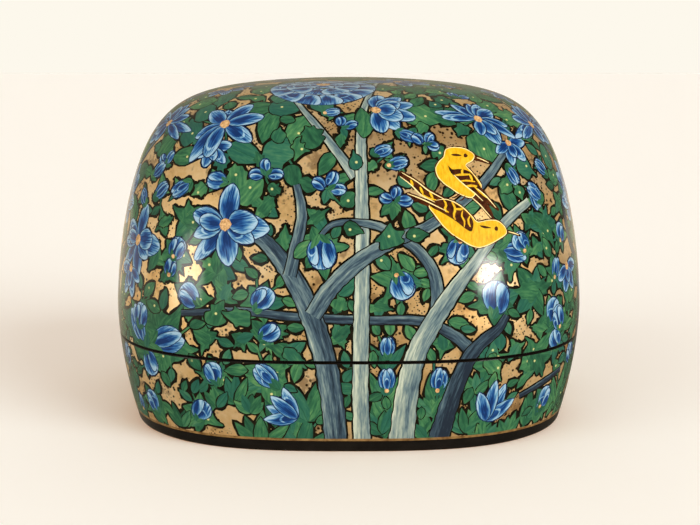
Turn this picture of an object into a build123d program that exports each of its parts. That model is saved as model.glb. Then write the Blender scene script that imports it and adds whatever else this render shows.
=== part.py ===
"""A cushion-shaped papier-mache box with a lift-off lid, in millimetres.

The box is built up in layers, as its maker builds it: a pulp shell moulded in one piece and sawn
into a lid and a base, a painted ground of gesso and paper outside, a black-lacquered paper lining
inside, and a collar glued into the base that the lid drops over.

+Z is up. The origin is the middle of the underside, on the surface that the box stands on.
"""

from build123d import *
import os
from math import cos, hypot, pi, sin

# The outside of the closed box
WIDTH = 127.0  # along X, at the widest height
DEPTH = 127.0  # along Y, at the widest height
HEIGHT = 90.4
WIDEST_AT = 30.7  # height at which the wall is widest
PLAN_ROUNDNESS = 2.83  # exponent of the squircle plan: 2 is an ellipse, more is squarer

# The wall below the widest height leans in towards the foot
FOOT_INSET = 4.8  # how far the wall has come in at the underside, on each side
FOOT_CURVE = 1.8  # exponent of that lean
FOOT_ROUND = 1.0  # rounding of the bottom edge

# The dome above the widest height
DOME_SQUARENESS = 7.75  # more gives a flatter top with a tighter shoulder
SHOULDER_CURVE = 1.565  # exponent of the wall where it starts to turn in
CROWN = 0.12  # share of the dome's height that falls evenly from the middle to the edge

# The seam between the lid and the base
SEAM_AT = 23.6  # height of the middle of the seam
SEAM_GAP = 0.2  # paint-to-paint gap when the lid is on
RIM_ROUND = 0.35  # rounding of the two painted rims

# Layers, from the outside in
GROUND = 0.8  # gesso, paper, paint and varnish
PULP = 3.0  # moulded paper pulp
LINING = 0.5  # black-lacquered paper
BLACK_EDGE = 2.7  # height up to which the outside is plain black

# The collar
COLLAR_RISE = 6.0  # how far it stands above the base's rim
COLLAR_DEPTH = 9.0  # how far it reaches down inside the base
COLLAR_WALL = 2.0  # its thickness above the rim
COLLAR_CLEARANCE = 0.35  # running gap all round inside the lid
COLLAR_ROUND = 0.6  # rounding of its two upper edges

# How finely the forms are drawn
PLAN_POINTS = 20  # points of each squircle
WALL_SECTIONS = 4  # sections below the widest height
DOME_SECTIONS = 10  # sections above it
PROFILE_STEPS = 600  # steps in which the dome's outline is measured

BASE_RIM = SEAM_AT - SEAM_GAP / 2
LID_RIM = SEAM_AT + SEAM_GAP / 2


def squircle(half_x, half_y):
    """The points of a squircle plan with these half sizes, evenly turned round the middle."""
    points = []
    for step in range(PLAN_POINTS):
        angle = 2 * pi * step / PLAN_POINTS
        reach = (abs(cos(angle)) ** PLAN_ROUNDNESS + abs(sin(angle)) ** PLAN_ROUNDNESS) ** (
            -1 / PLAN_ROUNDNESS
        )
        points.append((half_x * reach * cos(angle), half_y * reach * sin(angle)))
    return points


def plan_face(half_x, half_y, height):
    """A flat squircle face at this height."""
    with BuildSketch(Plane.XY.offset(height)) as plan:
        with BuildLine():
            Spline(*squircle(half_x, half_y), periodic=True)
        make_face()
    return plan.sketch


def wall_inset(height):
    """How far the outside of the wall has come in, at a height below the widest one."""
    return FOOT_INSET * ((WIDEST_AT - height) / WIDEST_AT) ** FOOT_CURVE


def dome_point(angle, inset):
    """The dome's outline as (share of the plan's half size, height), 0 at the wall and pi / 2 at the top."""
    rise = HEIGHT - inset - WIDEST_AT
    share = max(cos(angle), 0.0) ** (2 / DOME_SQUARENESS)
    shoulder = sin(angle) ** (2 / SHOULDER_CURVE)
    return share, WIDEST_AT + rise * ((1 - CROWN) * shoulder + CROWN * (1 - share**2))


def dome_stations(inset):
    """Points of the dome's outline at even distances along it, without the top one."""
    outline = [dome_point(pi / 2 * step / PROFILE_STEPS, inset) for step in range(PROFILE_STEPS + 1)]
    travelled = [0.0]
    for (share, height), (next_share, next_height) in zip(outline, outline[1:]):
        stride = hypot((share - next_share) * WIDTH / 2, next_height - height)
        travelled.append(travelled[-1] + stride)
    stations = []
    for number in range(DOME_SECTIONS):
        wanted = travelled[-1] * number / DOME_SECTIONS
        found = next(i for i, distance in enumerate(travelled) if distance >= wanted)
        stations.append(outline[found])
    return stations


def cushion(inset, bottom_round):
    """The closed cushion form, this far inside the outside of the box."""
    half_x = WIDTH / 2 - inset
    half_y = DEPTH / 2 - inset
    sections = []
    for number in range(WALL_SECTIONS):
        height = inset + (WIDEST_AT - inset) * number / WALL_SECTIONS
        lean = wall_inset(height)
        sections.append(plan_face(half_x - lean, half_y - lean, height))
    for share, height in dome_stations(inset):
        sections.append(plan_face(half_x * share, half_y * share, height))
    with BuildPart() as form:
        loft(sections=[*sections, Vertex(0, 0, HEIGHT - inset)])
        fillet(form.faces().sort_by(Axis.Z)[0].edges(), radius=bottom_round)
    return form.part


outside = cushion(0, FOOT_ROUND)
pulp_outside = cushion(GROUND, FOOT_ROUND)
pulp_inside = cushion(GROUND + PULP, FOOT_ROUND)
inside = cushion(GROUND + PULP + LINING, FOOT_ROUND)

# What the lid must clear: the lining's inner face is narrowest at the lid's rim
rim_inset = wall_inset(LID_RIM) + GROUND + PULP + LINING
collar_inset = rim_inset + COLLAR_CLEARANCE
collar_foot = BASE_RIM - COLLAR_DEPTH
collar_top = BASE_RIM + COLLAR_RISE


def collar_prism(inset, bottom, top):
    """A straight-sided squircle block of the plan that lies this far inside the widest outline."""
    with BuildPart() as prism:
        add(plan_face(WIDTH / 2 - inset, DEPTH / 2 - inset, bottom))
        extrude(amount=top - bottom)
    return prism.part


collar_bore = collar_prism(collar_inset + COLLAR_WALL, collar_foot - HEIGHT, collar_top + HEIGHT)

# The lid
with BuildPart() as lid_painted_skin:
    add(outside)
    add(pulp_outside, mode=Mode.SUBTRACT)
    split(bisect_by=Plane.XY.offset(LID_RIM), keep=Keep.TOP)
    fillet(lid_painted_skin.edges().group_by(Axis.Z)[0].sort_by(SortBy.LENGTH)[-1], radius=RIM_ROUND)

with BuildPart() as lid_shell:
    add(pulp_outside)
    add(pulp_inside, mode=Mode.SUBTRACT)
    split(bisect_by=Plane.XY.offset(LID_RIM), keep=Keep.TOP)

with BuildPart() as lid_lining:
    add(pulp_inside)
    add(inside, mode=Mode.SUBTRACT)
    split(bisect_by=Plane.XY.offset(LID_RIM), keep=Keep.TOP)

# The base
with BuildPart() as base_painted_skin:
    add(outside)
    add(pulp_outside, mode=Mode.SUBTRACT)
    split(bisect_by=Plane.XY.offset(BASE_RIM), keep=Keep.BOTTOM)
    split(bisect_by=Plane.XY.offset(BLACK_EDGE), keep=Keep.TOP)
    fillet(base_painted_skin.edges().group_by(Axis.Z)[-1].sort_by(SortBy.LENGTH)[-1], radius=RIM_ROUND)

with BuildPart() as base_underside_skin:
    add(outside)
    add(pulp_outside, mode=Mode.SUBTRACT)
    split(bisect_by=Plane.XY.offset(BLACK_EDGE), keep=Keep.BOTTOM)

with BuildPart() as base_shell:
    add(pulp_outside)
    add(pulp_inside, mode=Mode.SUBTRACT)
    split(bisect_by=Plane.XY.offset(BASE_RIM), keep=Keep.BOTTOM)

with BuildPart() as base_lining:
    add(pulp_inside)
    add(inside, mode=Mode.SUBTRACT)
    split(bisect_by=Plane.XY.offset(collar_foot), keep=Keep.BOTTOM)

with BuildPart() as base_collar:
    add(pulp_inside)
    split(bisect_by=Plane.XY.offset(collar_foot), keep=Keep.TOP)
    split(bisect_by=Plane.XY.offset(BASE_RIM), keep=Keep.BOTTOM)
    add(collar_prism(collar_inset, BASE_RIM, collar_top))
    add(collar_bore, mode=Mode.SUBTRACT)
    fillet(base_collar.edges().group_by(Axis.Z)[-1], radius=COLLAR_ROUND)

nodes = {
    "lid_painted_skin": lid_painted_skin,
    "lid_shell": lid_shell,
    "lid_lining": lid_lining,
    "base_painted_skin": base_painted_skin,
    "base_underside_skin": base_underside_skin,
    "base_shell": base_shell,
    "base_lining": base_lining,
    "base_collar": base_collar,
}

os.makedirs("parts", exist_ok=True)
for name, node in nodes.items():
    node.part.label = name
    export_step(node.part, f"parts/{name}.step")
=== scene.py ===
"""The painted, varnished looks of a lidded papier-mache box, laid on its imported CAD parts.

The painting is made as its painter makes it, one flat patch over another: a gold ground, black
contours, leaves, boughs, blossoms and birds. Every patch is an outline in millimetres on a place of
the box. All outlines are then cut into one mesh of the box's outside, where each face takes the
paint of the topmost patch over it and knows where it lies in that patch, so the paints can follow
the stroke.
"""

import math
import random

import bpy
import numpy as np
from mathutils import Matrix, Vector
from mathutils.geometry import delaunay_2d_cdt

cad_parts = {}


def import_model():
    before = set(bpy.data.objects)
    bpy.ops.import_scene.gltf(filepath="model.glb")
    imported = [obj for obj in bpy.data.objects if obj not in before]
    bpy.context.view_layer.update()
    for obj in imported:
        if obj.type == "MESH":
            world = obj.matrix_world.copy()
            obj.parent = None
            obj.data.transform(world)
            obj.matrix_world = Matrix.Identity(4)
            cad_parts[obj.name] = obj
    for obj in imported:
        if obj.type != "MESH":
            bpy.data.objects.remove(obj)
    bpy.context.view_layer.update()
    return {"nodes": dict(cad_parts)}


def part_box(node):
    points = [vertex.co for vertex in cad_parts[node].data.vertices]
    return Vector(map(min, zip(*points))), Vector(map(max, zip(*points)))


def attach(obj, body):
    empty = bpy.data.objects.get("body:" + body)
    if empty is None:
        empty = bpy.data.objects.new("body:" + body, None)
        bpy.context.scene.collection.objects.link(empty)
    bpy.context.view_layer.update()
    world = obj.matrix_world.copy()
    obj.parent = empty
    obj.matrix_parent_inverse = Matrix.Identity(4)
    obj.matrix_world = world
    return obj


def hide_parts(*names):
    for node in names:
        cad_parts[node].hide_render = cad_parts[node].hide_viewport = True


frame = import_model()

# ---------------------------------------------------------------- sizes, in millimetres
MM = 0.001
lid_low, lid_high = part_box("lid_painted_skin")
base_low, base_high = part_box("base_painted_skin")
HALF = lid_high.y / MM  # half the width at the widest height
HEIGHT = lid_high.z / MM
LID_RIM = lid_low.z / MM
BASE_RIM = base_high.z / MM
BLACK_EDGE = base_low.z / MM  # below it the outside is plain black

# The form, as the CAD parts have it
ROUNDNESS = 2.83  # exponent of the squircle plan
WIDEST_AT = 30.7
FOOT_INSET = 4.8
FOOT_CURVE = 1.8
DOME_SQUARENESS = 7.75
SHOULDER_CURVE = 1.565
CROWN = 0.12
RIM_ROUND = 0.3
RIM_STEPS = 4  # of the round
SKIN = 0.75  # how thick the painted ground is shown, just clear of the pulp shell

PROFILE_STEP = 0.1  # along the profile
NET_STEP = 2.4  # spacing of the plain net under the painting
RING_LENGTH = 7.2  # of a level ring round the box, in half widths
RING_POINTS = 480  # points of each ring that the painting is cut at
INNER_POINTS = 96  # points of each ring inside the skin
CUT_TOLERANCE = 1e-5
BAKE_MARGIN = 2.02  # width of the picture that the colours are baked to, in radii of the painting

# The painting
CONTOUR = 0.62  # how far black shows round a leaf
RIM_BLACK = 0.03  # how far the black of the rims comes out on the wall
STROKE = 0.26  # a fine contour
GOLD_LINE = (0.35, 1.0)  # the line above the black edge, from and to
LOW_LEAVES = 22.0  # how far up the wall the leaves stand upright
HIGH_LEAVES = 62.0  # how far up it they get small and apart
LEAF_RADII = (6.6, 5.4, 4.3, 3.6, 3.0, 2.4, 1.9, 1.6)  # of a clump or a lone leaf
HIGH_RADIUS = 4.4  # the largest one on top
LONE_RADIUS = 2.8  # smaller ones are lone leaves everywhere
OVERLAP = (0.7, 0.73)  # how close they come, as a share of their radii: below and on top
LEAF_TRIES = 5000  # for each radius
BIG_CLUMP = 4.5  # a clump wider than this has more leaves
GAP_SPACING = 11.0  # between loose spots of open gold
GAP_RADII = (1.6, 3.2)  # smallest and largest
GAP_TRIES = 4000
COMPOSED = 92  # how far up the front and the back are composed from listed places
FLOWER_ROOM = 0.86  # the room of an open flower, as a share of its radius
CLUSTER_ROOM = 1.1  # the room of a cluster of buds, as a share of their length
BUD_ROOM = (0.95, 0.8)  # the room of a bud, likewise: below and on top
OVERLEAF_FROM = 28  # how far up leaves grow over the boughs of the sides
OVERLEAF_SHARE = 0.04  # of the points along these boughs
PETAL_ROOT = 0.62  # how round a petal is at its root
SEED = 5
rng = random.Random(SEED)


# ---------------------------------------------------------------- the form
def build_profile():
    """Distance from the apex, half width and height along the outside, at even steps."""
    turns = np.unique(np.concatenate([
        np.linspace(0, math.pi / 2, 2500),
        np.arccos(np.linspace(0, 1, 1500) ** (DOME_SQUARENESS / 2)),
    ]))[::-1]
    share = np.maximum(np.cos(turns), 0) ** (2 / DOME_SQUARENESS)
    shoulder = np.sin(turns) ** (2 / SHOULDER_CURVE)
    dome = WIDEST_AT + (HEIGHT - WIDEST_AT) * ((1 - CROWN) * shoulder + CROWN * (1 - share**2))
    share[0] = 0
    wall = np.linspace(WIDEST_AT, 0, 400)[1:]
    drawn_in = FOOT_INSET * ((WIDEST_AT - wall) / WIDEST_AT) ** FOOT_CURVE
    half = np.concatenate([HALF * share, HALF - drawn_in])
    height = np.concatenate([dome, wall])
    travelled = np.concatenate([[0], np.cumsum(np.hypot(np.diff(half), np.diff(height)))])
    steps = np.arange(0, travelled[-1], PROFILE_STEP)
    return steps, np.interp(steps, travelled, half), np.interp(steps, travelled, height)


STEPS, HALVES, HEIGHTS = build_profile()
HALF_SLOPE = np.gradient(HALVES, PROFILE_STEP)
HEIGHT_SLOPE = np.gradient(HEIGHTS, PROFILE_STEP)
GIRTH = STEPS[-1]  # from the apex down to the foot
BEARINGS = np.arctan2(HEIGHTS - WIDEST_AT, HALVES)  # seen from the middle of the widest section


def gauge(x, y):
    """The half width of the squircle through these plan points."""
    return (np.abs(x) ** ROUNDNESS + np.abs(y) ** ROUNDNESS) ** (1 / ROUNDNESS)


def surface(turn, travel):
    """Points of the outside at this turn about the axis and this distance from the apex."""
    turn, travel = np.broadcast_arrays(turn, travel)
    half = np.interp(travel, STEPS, HALVES) / gauge(np.cos(turn), np.sin(turn))
    return np.stack([half * np.cos(turn), half * np.sin(turn), np.interp(travel, STEPS, HEIGHTS)], axis=-1)


def unroll(points):
    """Turn and distance from the apex of points on, or a little off, the outside."""
    x, y, z = points[..., 0], points[..., 1], points[..., 2]
    bearing = np.arctan2(z - WIDEST_AT, gauge(x, y))
    return np.arctan2(y, x), np.interp(-bearing, -BEARINGS, STEPS)


def chart(points):
    """The flat chart that the painting is cut in: distance from the apex, turned about it."""
    turn, travel = unroll(points)
    return np.stack([travel * np.cos(turn), travel * np.sin(turn)], axis=-1)


def normals(turn, travel):
    """Outward unit normals."""
    turn, travel = np.broadcast_arrays(turn, travel)
    cosine, sine = np.cos(turn), np.sin(turn)
    reach = gauge(cosine, sine)
    steer_x = np.sign(cosine) * (np.abs(cosine) / reach) ** (ROUNDNESS - 1)
    steer_y = np.sign(sine) * (np.abs(sine) / reach) ** (ROUNDNESS - 1)
    fall = -np.interp(travel, STEPS, HEIGHT_SLOPE)
    lean = np.interp(travel, STEPS, HALF_SLOPE)
    found = np.stack([fall * steer_x, fall * steer_y, lean], axis=-1)
    return found / np.linalg.norm(found, axis=-1, keepdims=True)


def travel_at(height):
    """Distance from the apex of a height on the wall."""
    return float(np.interp(-height, -HEIGHTS, STEPS))


def turned(side):
    """Rotation that takes the front to a side: 0 front, 1 right, 2 back, 3 left."""
    angle = side * math.pi / 2
    cosine, sine = math.cos(angle), math.sin(angle)
    return np.array([[cosine, -sine, 0], [sine, cosine, 0], [0, 0, 1]])


def on_side(side, x, up):
    """Points of one side, x to the right of its middle and up the outside from the foot."""
    x, up = np.asarray(x, float), np.asarray(up, float)
    half = np.interp(GIRTH - up, STEPS, HALVES)
    x = np.clip(x, -0.975 * half, 0.975 * half)
    y = -((half**ROUNDNESS - np.abs(x) ** ROUNDNESS) ** (1 / ROUNDNESS))
    z = np.interp(GIRTH - up, STEPS, HEIGHTS)
    return np.stack([x, y, z], axis=-1) @ turned(side).T


class Place:
    """A place on the box, with a direction along a stroke and one across it."""

    def __init__(self, side, x, up, turn=0.0):
        self.side = side
        self.origin = on_side(side, x, up)
        normal = normals(*unroll(self.origin))
        right = turned(side) @ np.array([1.0, 0, 0])
        right -= normal * (right @ normal)
        right /= np.linalg.norm(right)
        rise = np.cross(normal, right)
        self.normal = normal
        self.along = math.cos(turn) * rise + math.sin(turn) * right
        self.across = math.cos(turn) * right - math.sin(turn) * rise

    def moved(self, across=0.0, along=0.0, turn=0.0):
        """Another place in the same tangent plane, turned further to the right."""
        place = Place.__new__(Place)
        place.side, place.normal = self.side, self.normal
        place.origin = self.origin + self.across * across + self.along * along
        place.along = math.cos(turn) * self.along + math.sin(turn) * self.across
        place.across = math.cos(turn) * self.across - math.sin(turn) * self.along
        return place

    def points(self, local):
        """Points of the box under local ones, given as (across, along)."""
        local = np.asarray(local, float)
        return self.origin + local[:, :1] * self.across + local[:, 1:] * self.along


# ---------------------------------------------------------------- patches of paint
PAINTS = ["gold", "contour", "leaf", "petal", "bark", "heart", "plumage", "wing", "bronze", "edge"]
GROUND, STEM, FOLIAGE, BOUGH, OVERLEAF, BLOSSOM, BIRD = range(7)  # layers, each over the ones before
patches = []


def lay(layer, paint, points, place, size=(1.0, 1.0), tone=0.5, path=None):
    """Adds a patch: a closed outline of points on the box, and what its paint follows."""
    patches.append({
        "layer": layer,
        "paint": PAINTS.index(paint),
        "outline": chart(points),
        "place": place,
        "size": size,
        "tone": tone,
        "seed": rng.random(),
        "path": path,
    })


def spline(before, start, end, beyond, share):
    """The smooth curve from start to end, at this share of the way."""
    return 0.5 * (2 * start + (end - before) * share
                  + (2 * before - 5 * start + 4 * end - beyond) * share**2
                  + (3 * start - before - 3 * end + beyond) * share**3)


def smooth(points, per_span=4):
    """A closed smooth outline through given points."""
    points = np.asarray(points, float)
    before, end, beyond = np.roll(points, 1, 0), np.roll(points, -1, 0), np.roll(points, -2, 0)
    rows = [spline(before, points, end, beyond, share) for share in np.arange(per_span) / per_span]
    return np.stack(rows, axis=1).reshape(-1, 2)


def uneven(count, ragged):
    """A column of numbers about one."""
    return np.array([[1 + ragged * rng.uniform(-1, 1)] for _ in range(count)])


def outset(outline, distance, ragged=0.0):
    """The outline drawn further out, unevenly where ragged."""
    outline = np.asarray(outline, float)
    after = np.roll(outline, -1, 0)
    stride = after - np.roll(outline, 1, 0)
    outward = np.stack([stride[:, 1], -stride[:, 0]], axis=1)
    outward /= np.maximum(np.linalg.norm(outward, axis=1, keepdims=True), 1e-6)
    area = np.sum(outline[:, 0] * after[:, 1] - outline[:, 1] * after[:, 0])
    return outline + outward * math.copysign(1, area) * distance * uneven(len(outline), ragged)


def blade(length, width, blunt=0.75, root=0.6, lobes=0.0, lobe_count=3.0, bend=0.0, points=10):
    """A leaf or petal outline from its root at the origin to its tip, as (across, along)."""
    share = (1 - np.cos(np.linspace(0, math.pi, points))) / 2
    form = share**root * (1 - share) ** blunt
    form /= form.max()
    sides = []
    for _ in range(2):
        phase = rng.uniform(0, 2 * math.pi)
        ripple = 1 + lobes * np.cos(2 * math.pi * lobe_count * share + phase)
        sides.append(width / 2 * form * ripple)
    sweep = bend * length * share**2
    right = np.stack([sweep + sides[0], share * length], axis=1)
    left = np.stack([sweep - sides[1], share * length], axis=1)
    return np.concatenate([right[:-1], left[:0:-1]])


# Outlines of lobed leaves, as (across, along) for a leaf one wide and one long
LOBED = [
    [(0.05, 0), (0.26, 0.08), (0.44, 0.24), (0.4, 0.38), (0.54, 0.56), (0.34, 0.66), (0.3, 0.82),
     (0.1, 0.86), (0.02, 1.02), (-0.12, 0.86), (-0.36, 0.76), (-0.34, 0.62), (-0.52, 0.48),
     (-0.4, 0.34), (-0.42, 0.18), (-0.22, 0.06)],
    [(0.05, 0), (0.3, -0.02), (0.56, 0.14), (0.46, 0.32), (0.56, 0.54), (0.32, 0.62), (0.18, 0.8),
     (0, 1.04), (-0.16, 0.78), (-0.34, 0.62), (-0.58, 0.5), (-0.44, 0.3), (-0.5, 0.08), (-0.26, -0.03)],
    [(0.06, 0), (0.34, 0.08), (0.52, 0.36), (0.34, 0.46), (0.4, 0.7), (0.18, 0.78), (0.02, 1.04),
     (-0.16, 0.76), (-0.42, 0.66), (-0.34, 0.46), (-0.54, 0.3), (-0.3, 0.06)],
    [(0.05, 0), (0.34, 0.12), (0.5, 0.34), (0.44, 0.6), (0.2, 0.82), (0.03, 1.06), (-0.14, 0.84),
     (-0.4, 0.64), (-0.5, 0.4), (-0.34, 0.1)],
]


def leaf(place, length, width, layer=FOLIAGE, form="lobed", lined=False, bend=None):
    """One leaf, lobed, round or slender: black behind it, and its green over that."""
    bend = rng.uniform(-0.22, 0.22) if bend is None else bend
    if form == "lobed":
        chosen = np.array(rng.choice(LOBED))
        chosen = chosen + np.array([[rng.gauss(0, 0.035), rng.gauss(0, 0.03)] for _ in chosen])
        shape = smooth(chosen * (width * rng.choice([-1, 1]), length), 3)
        shape[:, 0] += bend * shape[:, 1] ** 2 / length
    elif form == "round":
        blunt = rng.uniform(0.5, 0.8)
        shape = blade(length, width, blunt, 0.5, 0.08, rng.uniform(1.6, 2.8), bend / 2, 11)
    else:
        shape = blade(length, width, 1.05, 0.8, 0.03, 2.0, bend, 9)
    contour = outset(shape, CONTOUR * rng.uniform(0.75, 1.3), 0.45)
    lay(GROUND, "contour", place.points(contour), place)
    if lined:
        lay(layer, "contour", place.points(outset(shape, STROKE, 0.5)), place)
    slim = 0.5 if form == "slender" else 0.0
    lay(layer, "leaf", place.points(shape), place, (length, width), rng.random() * 0.5 + slim)


def petal(place, length, width, layer=BLOSSOM, blunt=0.6, bend=0.0, line=STROKE):
    """One petal with its own dark blue contour."""
    shape = blade(length, width, blunt, PETAL_ROOT, 0.03, 1.5, bend, 9)
    lay(layer, "petal", place.points(outset(shape, line, 0.35)), place, (length, width), -1.0)
    lay(layer, "petal", place.points(shape), place, (length, width), blunt)


def dab(place, radius, paint, layer, tone=0.5):
    """A small round touch of the brush."""
    turns = np.linspace(0, 2 * math.pi, 9)[:-1]
    shape = np.stack([np.cos(turns), np.sin(turns)], axis=1) * radius
    shape *= np.array([[rng.uniform(0.88, 1.12)] for _ in turns])
    lay(layer, paint, place.points(shape), place, (radius, radius), tone)


def backed_petal(place, length, width, **more):
    """A petal with black behind it."""
    shape = blade(length, width, more.get("blunt", 0.6), PETAL_ROOT, 0, 1, 0, 8)
    lay(GROUND, "contour", place.points(outset(shape, 0.5, 0.3)), place)
    petal(place, length, width, **more)


def blossom(place, radius, kind):
    """An open flower of listed petals (degrees to the right of up, length, width), back ones first."""
    for degrees, length, width in kind:
        root = place.moved(turn=math.radians(degrees) + rng.gauss(0, 0.04)).moved(along=radius * 0.07)
        reach = radius * length * rng.uniform(0.94, 1.06)
        broad = radius * width * rng.uniform(0.94, 1.06)
        backed_petal(root, reach, broad, blunt=rng.uniform(0.5, 0.75), bend=rng.uniform(-0.1, 0.1))
    dab(place, radius * 0.15, "heart", BLOSSOM)


def rosette(place, radius, lean=0.42):
    """A full flower of even rings, the outer one first, with its heart off the middle."""
    for count, length, width, start in ROSETTE:
        middle = place.moved(along=lean * radius * (1 - start / ROSETTE[0][3]))
        lead = rng.uniform(0, 2 * math.pi)
        for number in range(count):
            root = middle.moved(turn=lead + 2 * math.pi * number / count).moved(along=radius * start)
            backed_petal(root, radius * length, radius * width, blunt=0.2)
    dab(place.moved(along=lean * radius), radius * 0.15, "heart", BLOSSOM)


def small_bud(place, length, width):
    """A bud of two petals, one over the other."""
    shape = blade(length, width, 0.46, PETAL_ROOT, 0, 1, 0, 8)
    lay(GROUND, "contour", place.points(outset(shape, CONTOUR, 0.3)), place)
    hand = rng.choice([-1, 1])
    petal(place.moved(across=-hand * 0.06 * width), length, width * 0.9, blunt=0.46, bend=hand * 0.04)
    side = place.moved(across=hand * 0.2 * width, turn=hand * 0.12)
    petal(side, length * rng.uniform(0.88, 1.0), width * 0.56, blunt=0.5, bend=-hand * 0.16)


def cluster(place, length, count):
    """Two or three small buds on one root, with small leaves."""
    turns = {2: (-0.6, 0.6), 3: (-1.35, 0.1, 1.5)}[count]
    for _ in range(2):
        reach = length * rng.uniform(1.0, 1.4)
        leaf(place.moved(turn=rng.uniform(-math.pi, math.pi)), reach, reach * 0.55, form="slender")
    for turn in turns:
        start = place.moved(turn=turn + rng.uniform(-0.2, 0.2)).moved(along=0.22 * length)
        small_bud(start, length * rng.uniform(0.85, 1.05), length * rng.uniform(0.68, 0.8))
    for turn in rng.sample((-0.5, 0.7, 2.4), 2):
        leaf(place.moved(along=-0.1 * length, turn=turn), length * 0.7, length * 0.34, BLOSSOM, "slender")


def bud(place, length, plump):
    """A closed bud, plump or slender, over leaves."""
    width = length * (rng.uniform(0.84, 0.96) if plump else rng.uniform(0.6, 0.7))
    shape = blade(length, width * 1.08, 0.5, PETAL_ROOT, 0, 1, 0, 8)
    lay(GROUND, "contour", place.points(outset(shape, CONTOUR * 0.8, 0.3)), place)
    hands = rng.sample([-1, 1], 2)
    if plump:
        petal(place, length, width, blunt=0.46)
        side = place.moved(across=hands[0] * width * 0.22, turn=hands[0] * 0.2)
        petal(side, length * rng.uniform(0.82, 0.98), width * 0.54, blunt=0.5, bend=-hands[0] * 0.24)
        if rng.random() < 0.4:
            side = place.moved(across=hands[1] * width * 0.26, turn=hands[1] * 0.26)
            petal(side, length * 0.8, width * 0.4, blunt=0.5, bend=-hands[1] * 0.2)
    else:
        for hand in hands:
            side = place.moved(across=hand * width * 0.1, turn=hand * 0.16)
            petal(side, length * rng.uniform(0.88, 1.0), width * 0.66, bend=-hand * 0.1)
        reach = length * rng.uniform(0.86, 1.0)
        petal(place, reach, width * 0.5, bend=rng.uniform(-0.08, 0.08), line=STROKE * 0.7)
    for hand in (-1, 1):
        sepal = place.moved(along=-0.2 * length, turn=hand * rng.uniform(0.3, 0.8))
        leaf(sepal, length * rng.uniform(0.4, 0.6), length * 0.24, BLOSSOM, "slender")
    if rng.random() < 0.4:
        dab(place.moved(along=0.02 * length), 0.55, "heart", BLOSSOM)


def spray(place, length, count=4, spread=0.62):
    """A lily seen from the side: long petals fanned from one root."""
    for number in rng.sample(range(count), count):
        turn = spread * (2 * number / (count - 1) - 1)
        reach = length * rng.uniform(0.8, 1.05) * (1 - 0.15 * abs(turn))
        bend = rng.uniform(-0.1, 0.1)
        backed_petal(place.moved(turn=turn), reach, length * 0.32, blunt=0.8, bend=bend)


def clump(place, radius, count):
    """Leaves that spread from one point and run together."""
    lead = rng.uniform(0, 2 * math.pi)
    for number in range(count):
        turn = lead + 2 * math.pi * number / count + rng.gauss(0, 0.2)
        root = place.moved(turn=turn).moved(along=-1.5)
        reach = radius * rng.uniform(0.85, 1.25) + 1.5
        form = "lobed" if rng.random() < 0.5 else "slender"
        broad = max(2.6, radius * rng.uniform(0.6, 0.9))
        leaf(root, reach, broad, form=form, lined=rng.random() < 0.07)


def tuft(place, radius):
    """Slender leaves that fan upwards from one root."""
    for turn in rng.sample((-0.95, -0.5, 0.0, 0.45, 0.9), 5):
        root = place.moved(along=-radius, turn=turn + rng.gauss(0, 0.1))
        reach = radius * rng.uniform(1.5, 2.0)
        broad = max(2.4, radius * rng.uniform(0.5, 0.7))
        leaf(root, reach, broad, form="slender", lined=rng.random() < 0.3, bend=-turn * 0.15)


def banded(line, half):
    """The outline of a stroke along a line, with this half width."""
    heading = np.gradient(line, axis=0)
    beside = heading[:, ::-1] * (1, -1) * half / np.linalg.norm(heading, axis=1, keepdims=True)
    return np.concatenate([line + beside, (line - beside)[::-1]])


def stem(place, target):
    """A thin stem from the root of a leaf to what it grows from."""
    end = np.array([(target - place.origin) @ place.across, (target - place.origin) @ place.along])
    share = np.linspace(0, 1, 6)[:, None]
    line = end * share + np.array([end[1], -end[0]]) * rng.uniform(-0.8, 0.8) * share * (1 - share)
    line[0] -= end / np.hypot(*end) * 0.5
    band = banded(line, 0.24)
    lay(GROUND, "contour", place.points(outset(band, 0.28, 0.3)), place)
    lay(STEM, "leaf", place.points(band), place, (np.hypot(*end), 0.5), 0.3)


def lone_leaf(place, radius, form, target):
    """One leaf that grows away from the target, with its stem."""
    away = place.origin - target
    turn = math.atan2(away @ place.across, away @ place.along) + rng.gauss(0, 0.5)
    root = place.moved(turn=turn).moved(along=-radius)
    stem(root, target)
    broad = rng.uniform(1.15, 1.4) if form == "slender" else rng.uniform(1.6, 2.1)
    leaf(root, radius * rng.uniform(2.1, 2.5), radius * broad, form=form, lined=rng.random() < 0.7)


def stroke_path(points, step=1.1):
    """A brush path through given points (x, up, width), at even steps."""
    points = np.asarray(points, float)
    padded = np.concatenate([2 * points[:1] - points[1:2], points, 2 * points[-1:] - points[-2:-1]])
    spans = []
    for i in range(len(points) - 1):
        spans += [spline(*padded[i:i + 4], share) for share in np.linspace(0, 1, 13)[:-1]]
    spans.append(points[-1])
    spans = np.array(spans)
    lengths = np.concatenate([[0], np.cumsum(np.hypot(*np.diff(spans[:, :2], axis=0).T))])
    wanted = np.linspace(0, lengths[-1], max(4, int(lengths[-1] / step)))
    return np.stack([np.interp(wanted, lengths, spans[:, k]) for k in range(3)], axis=1)


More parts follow.
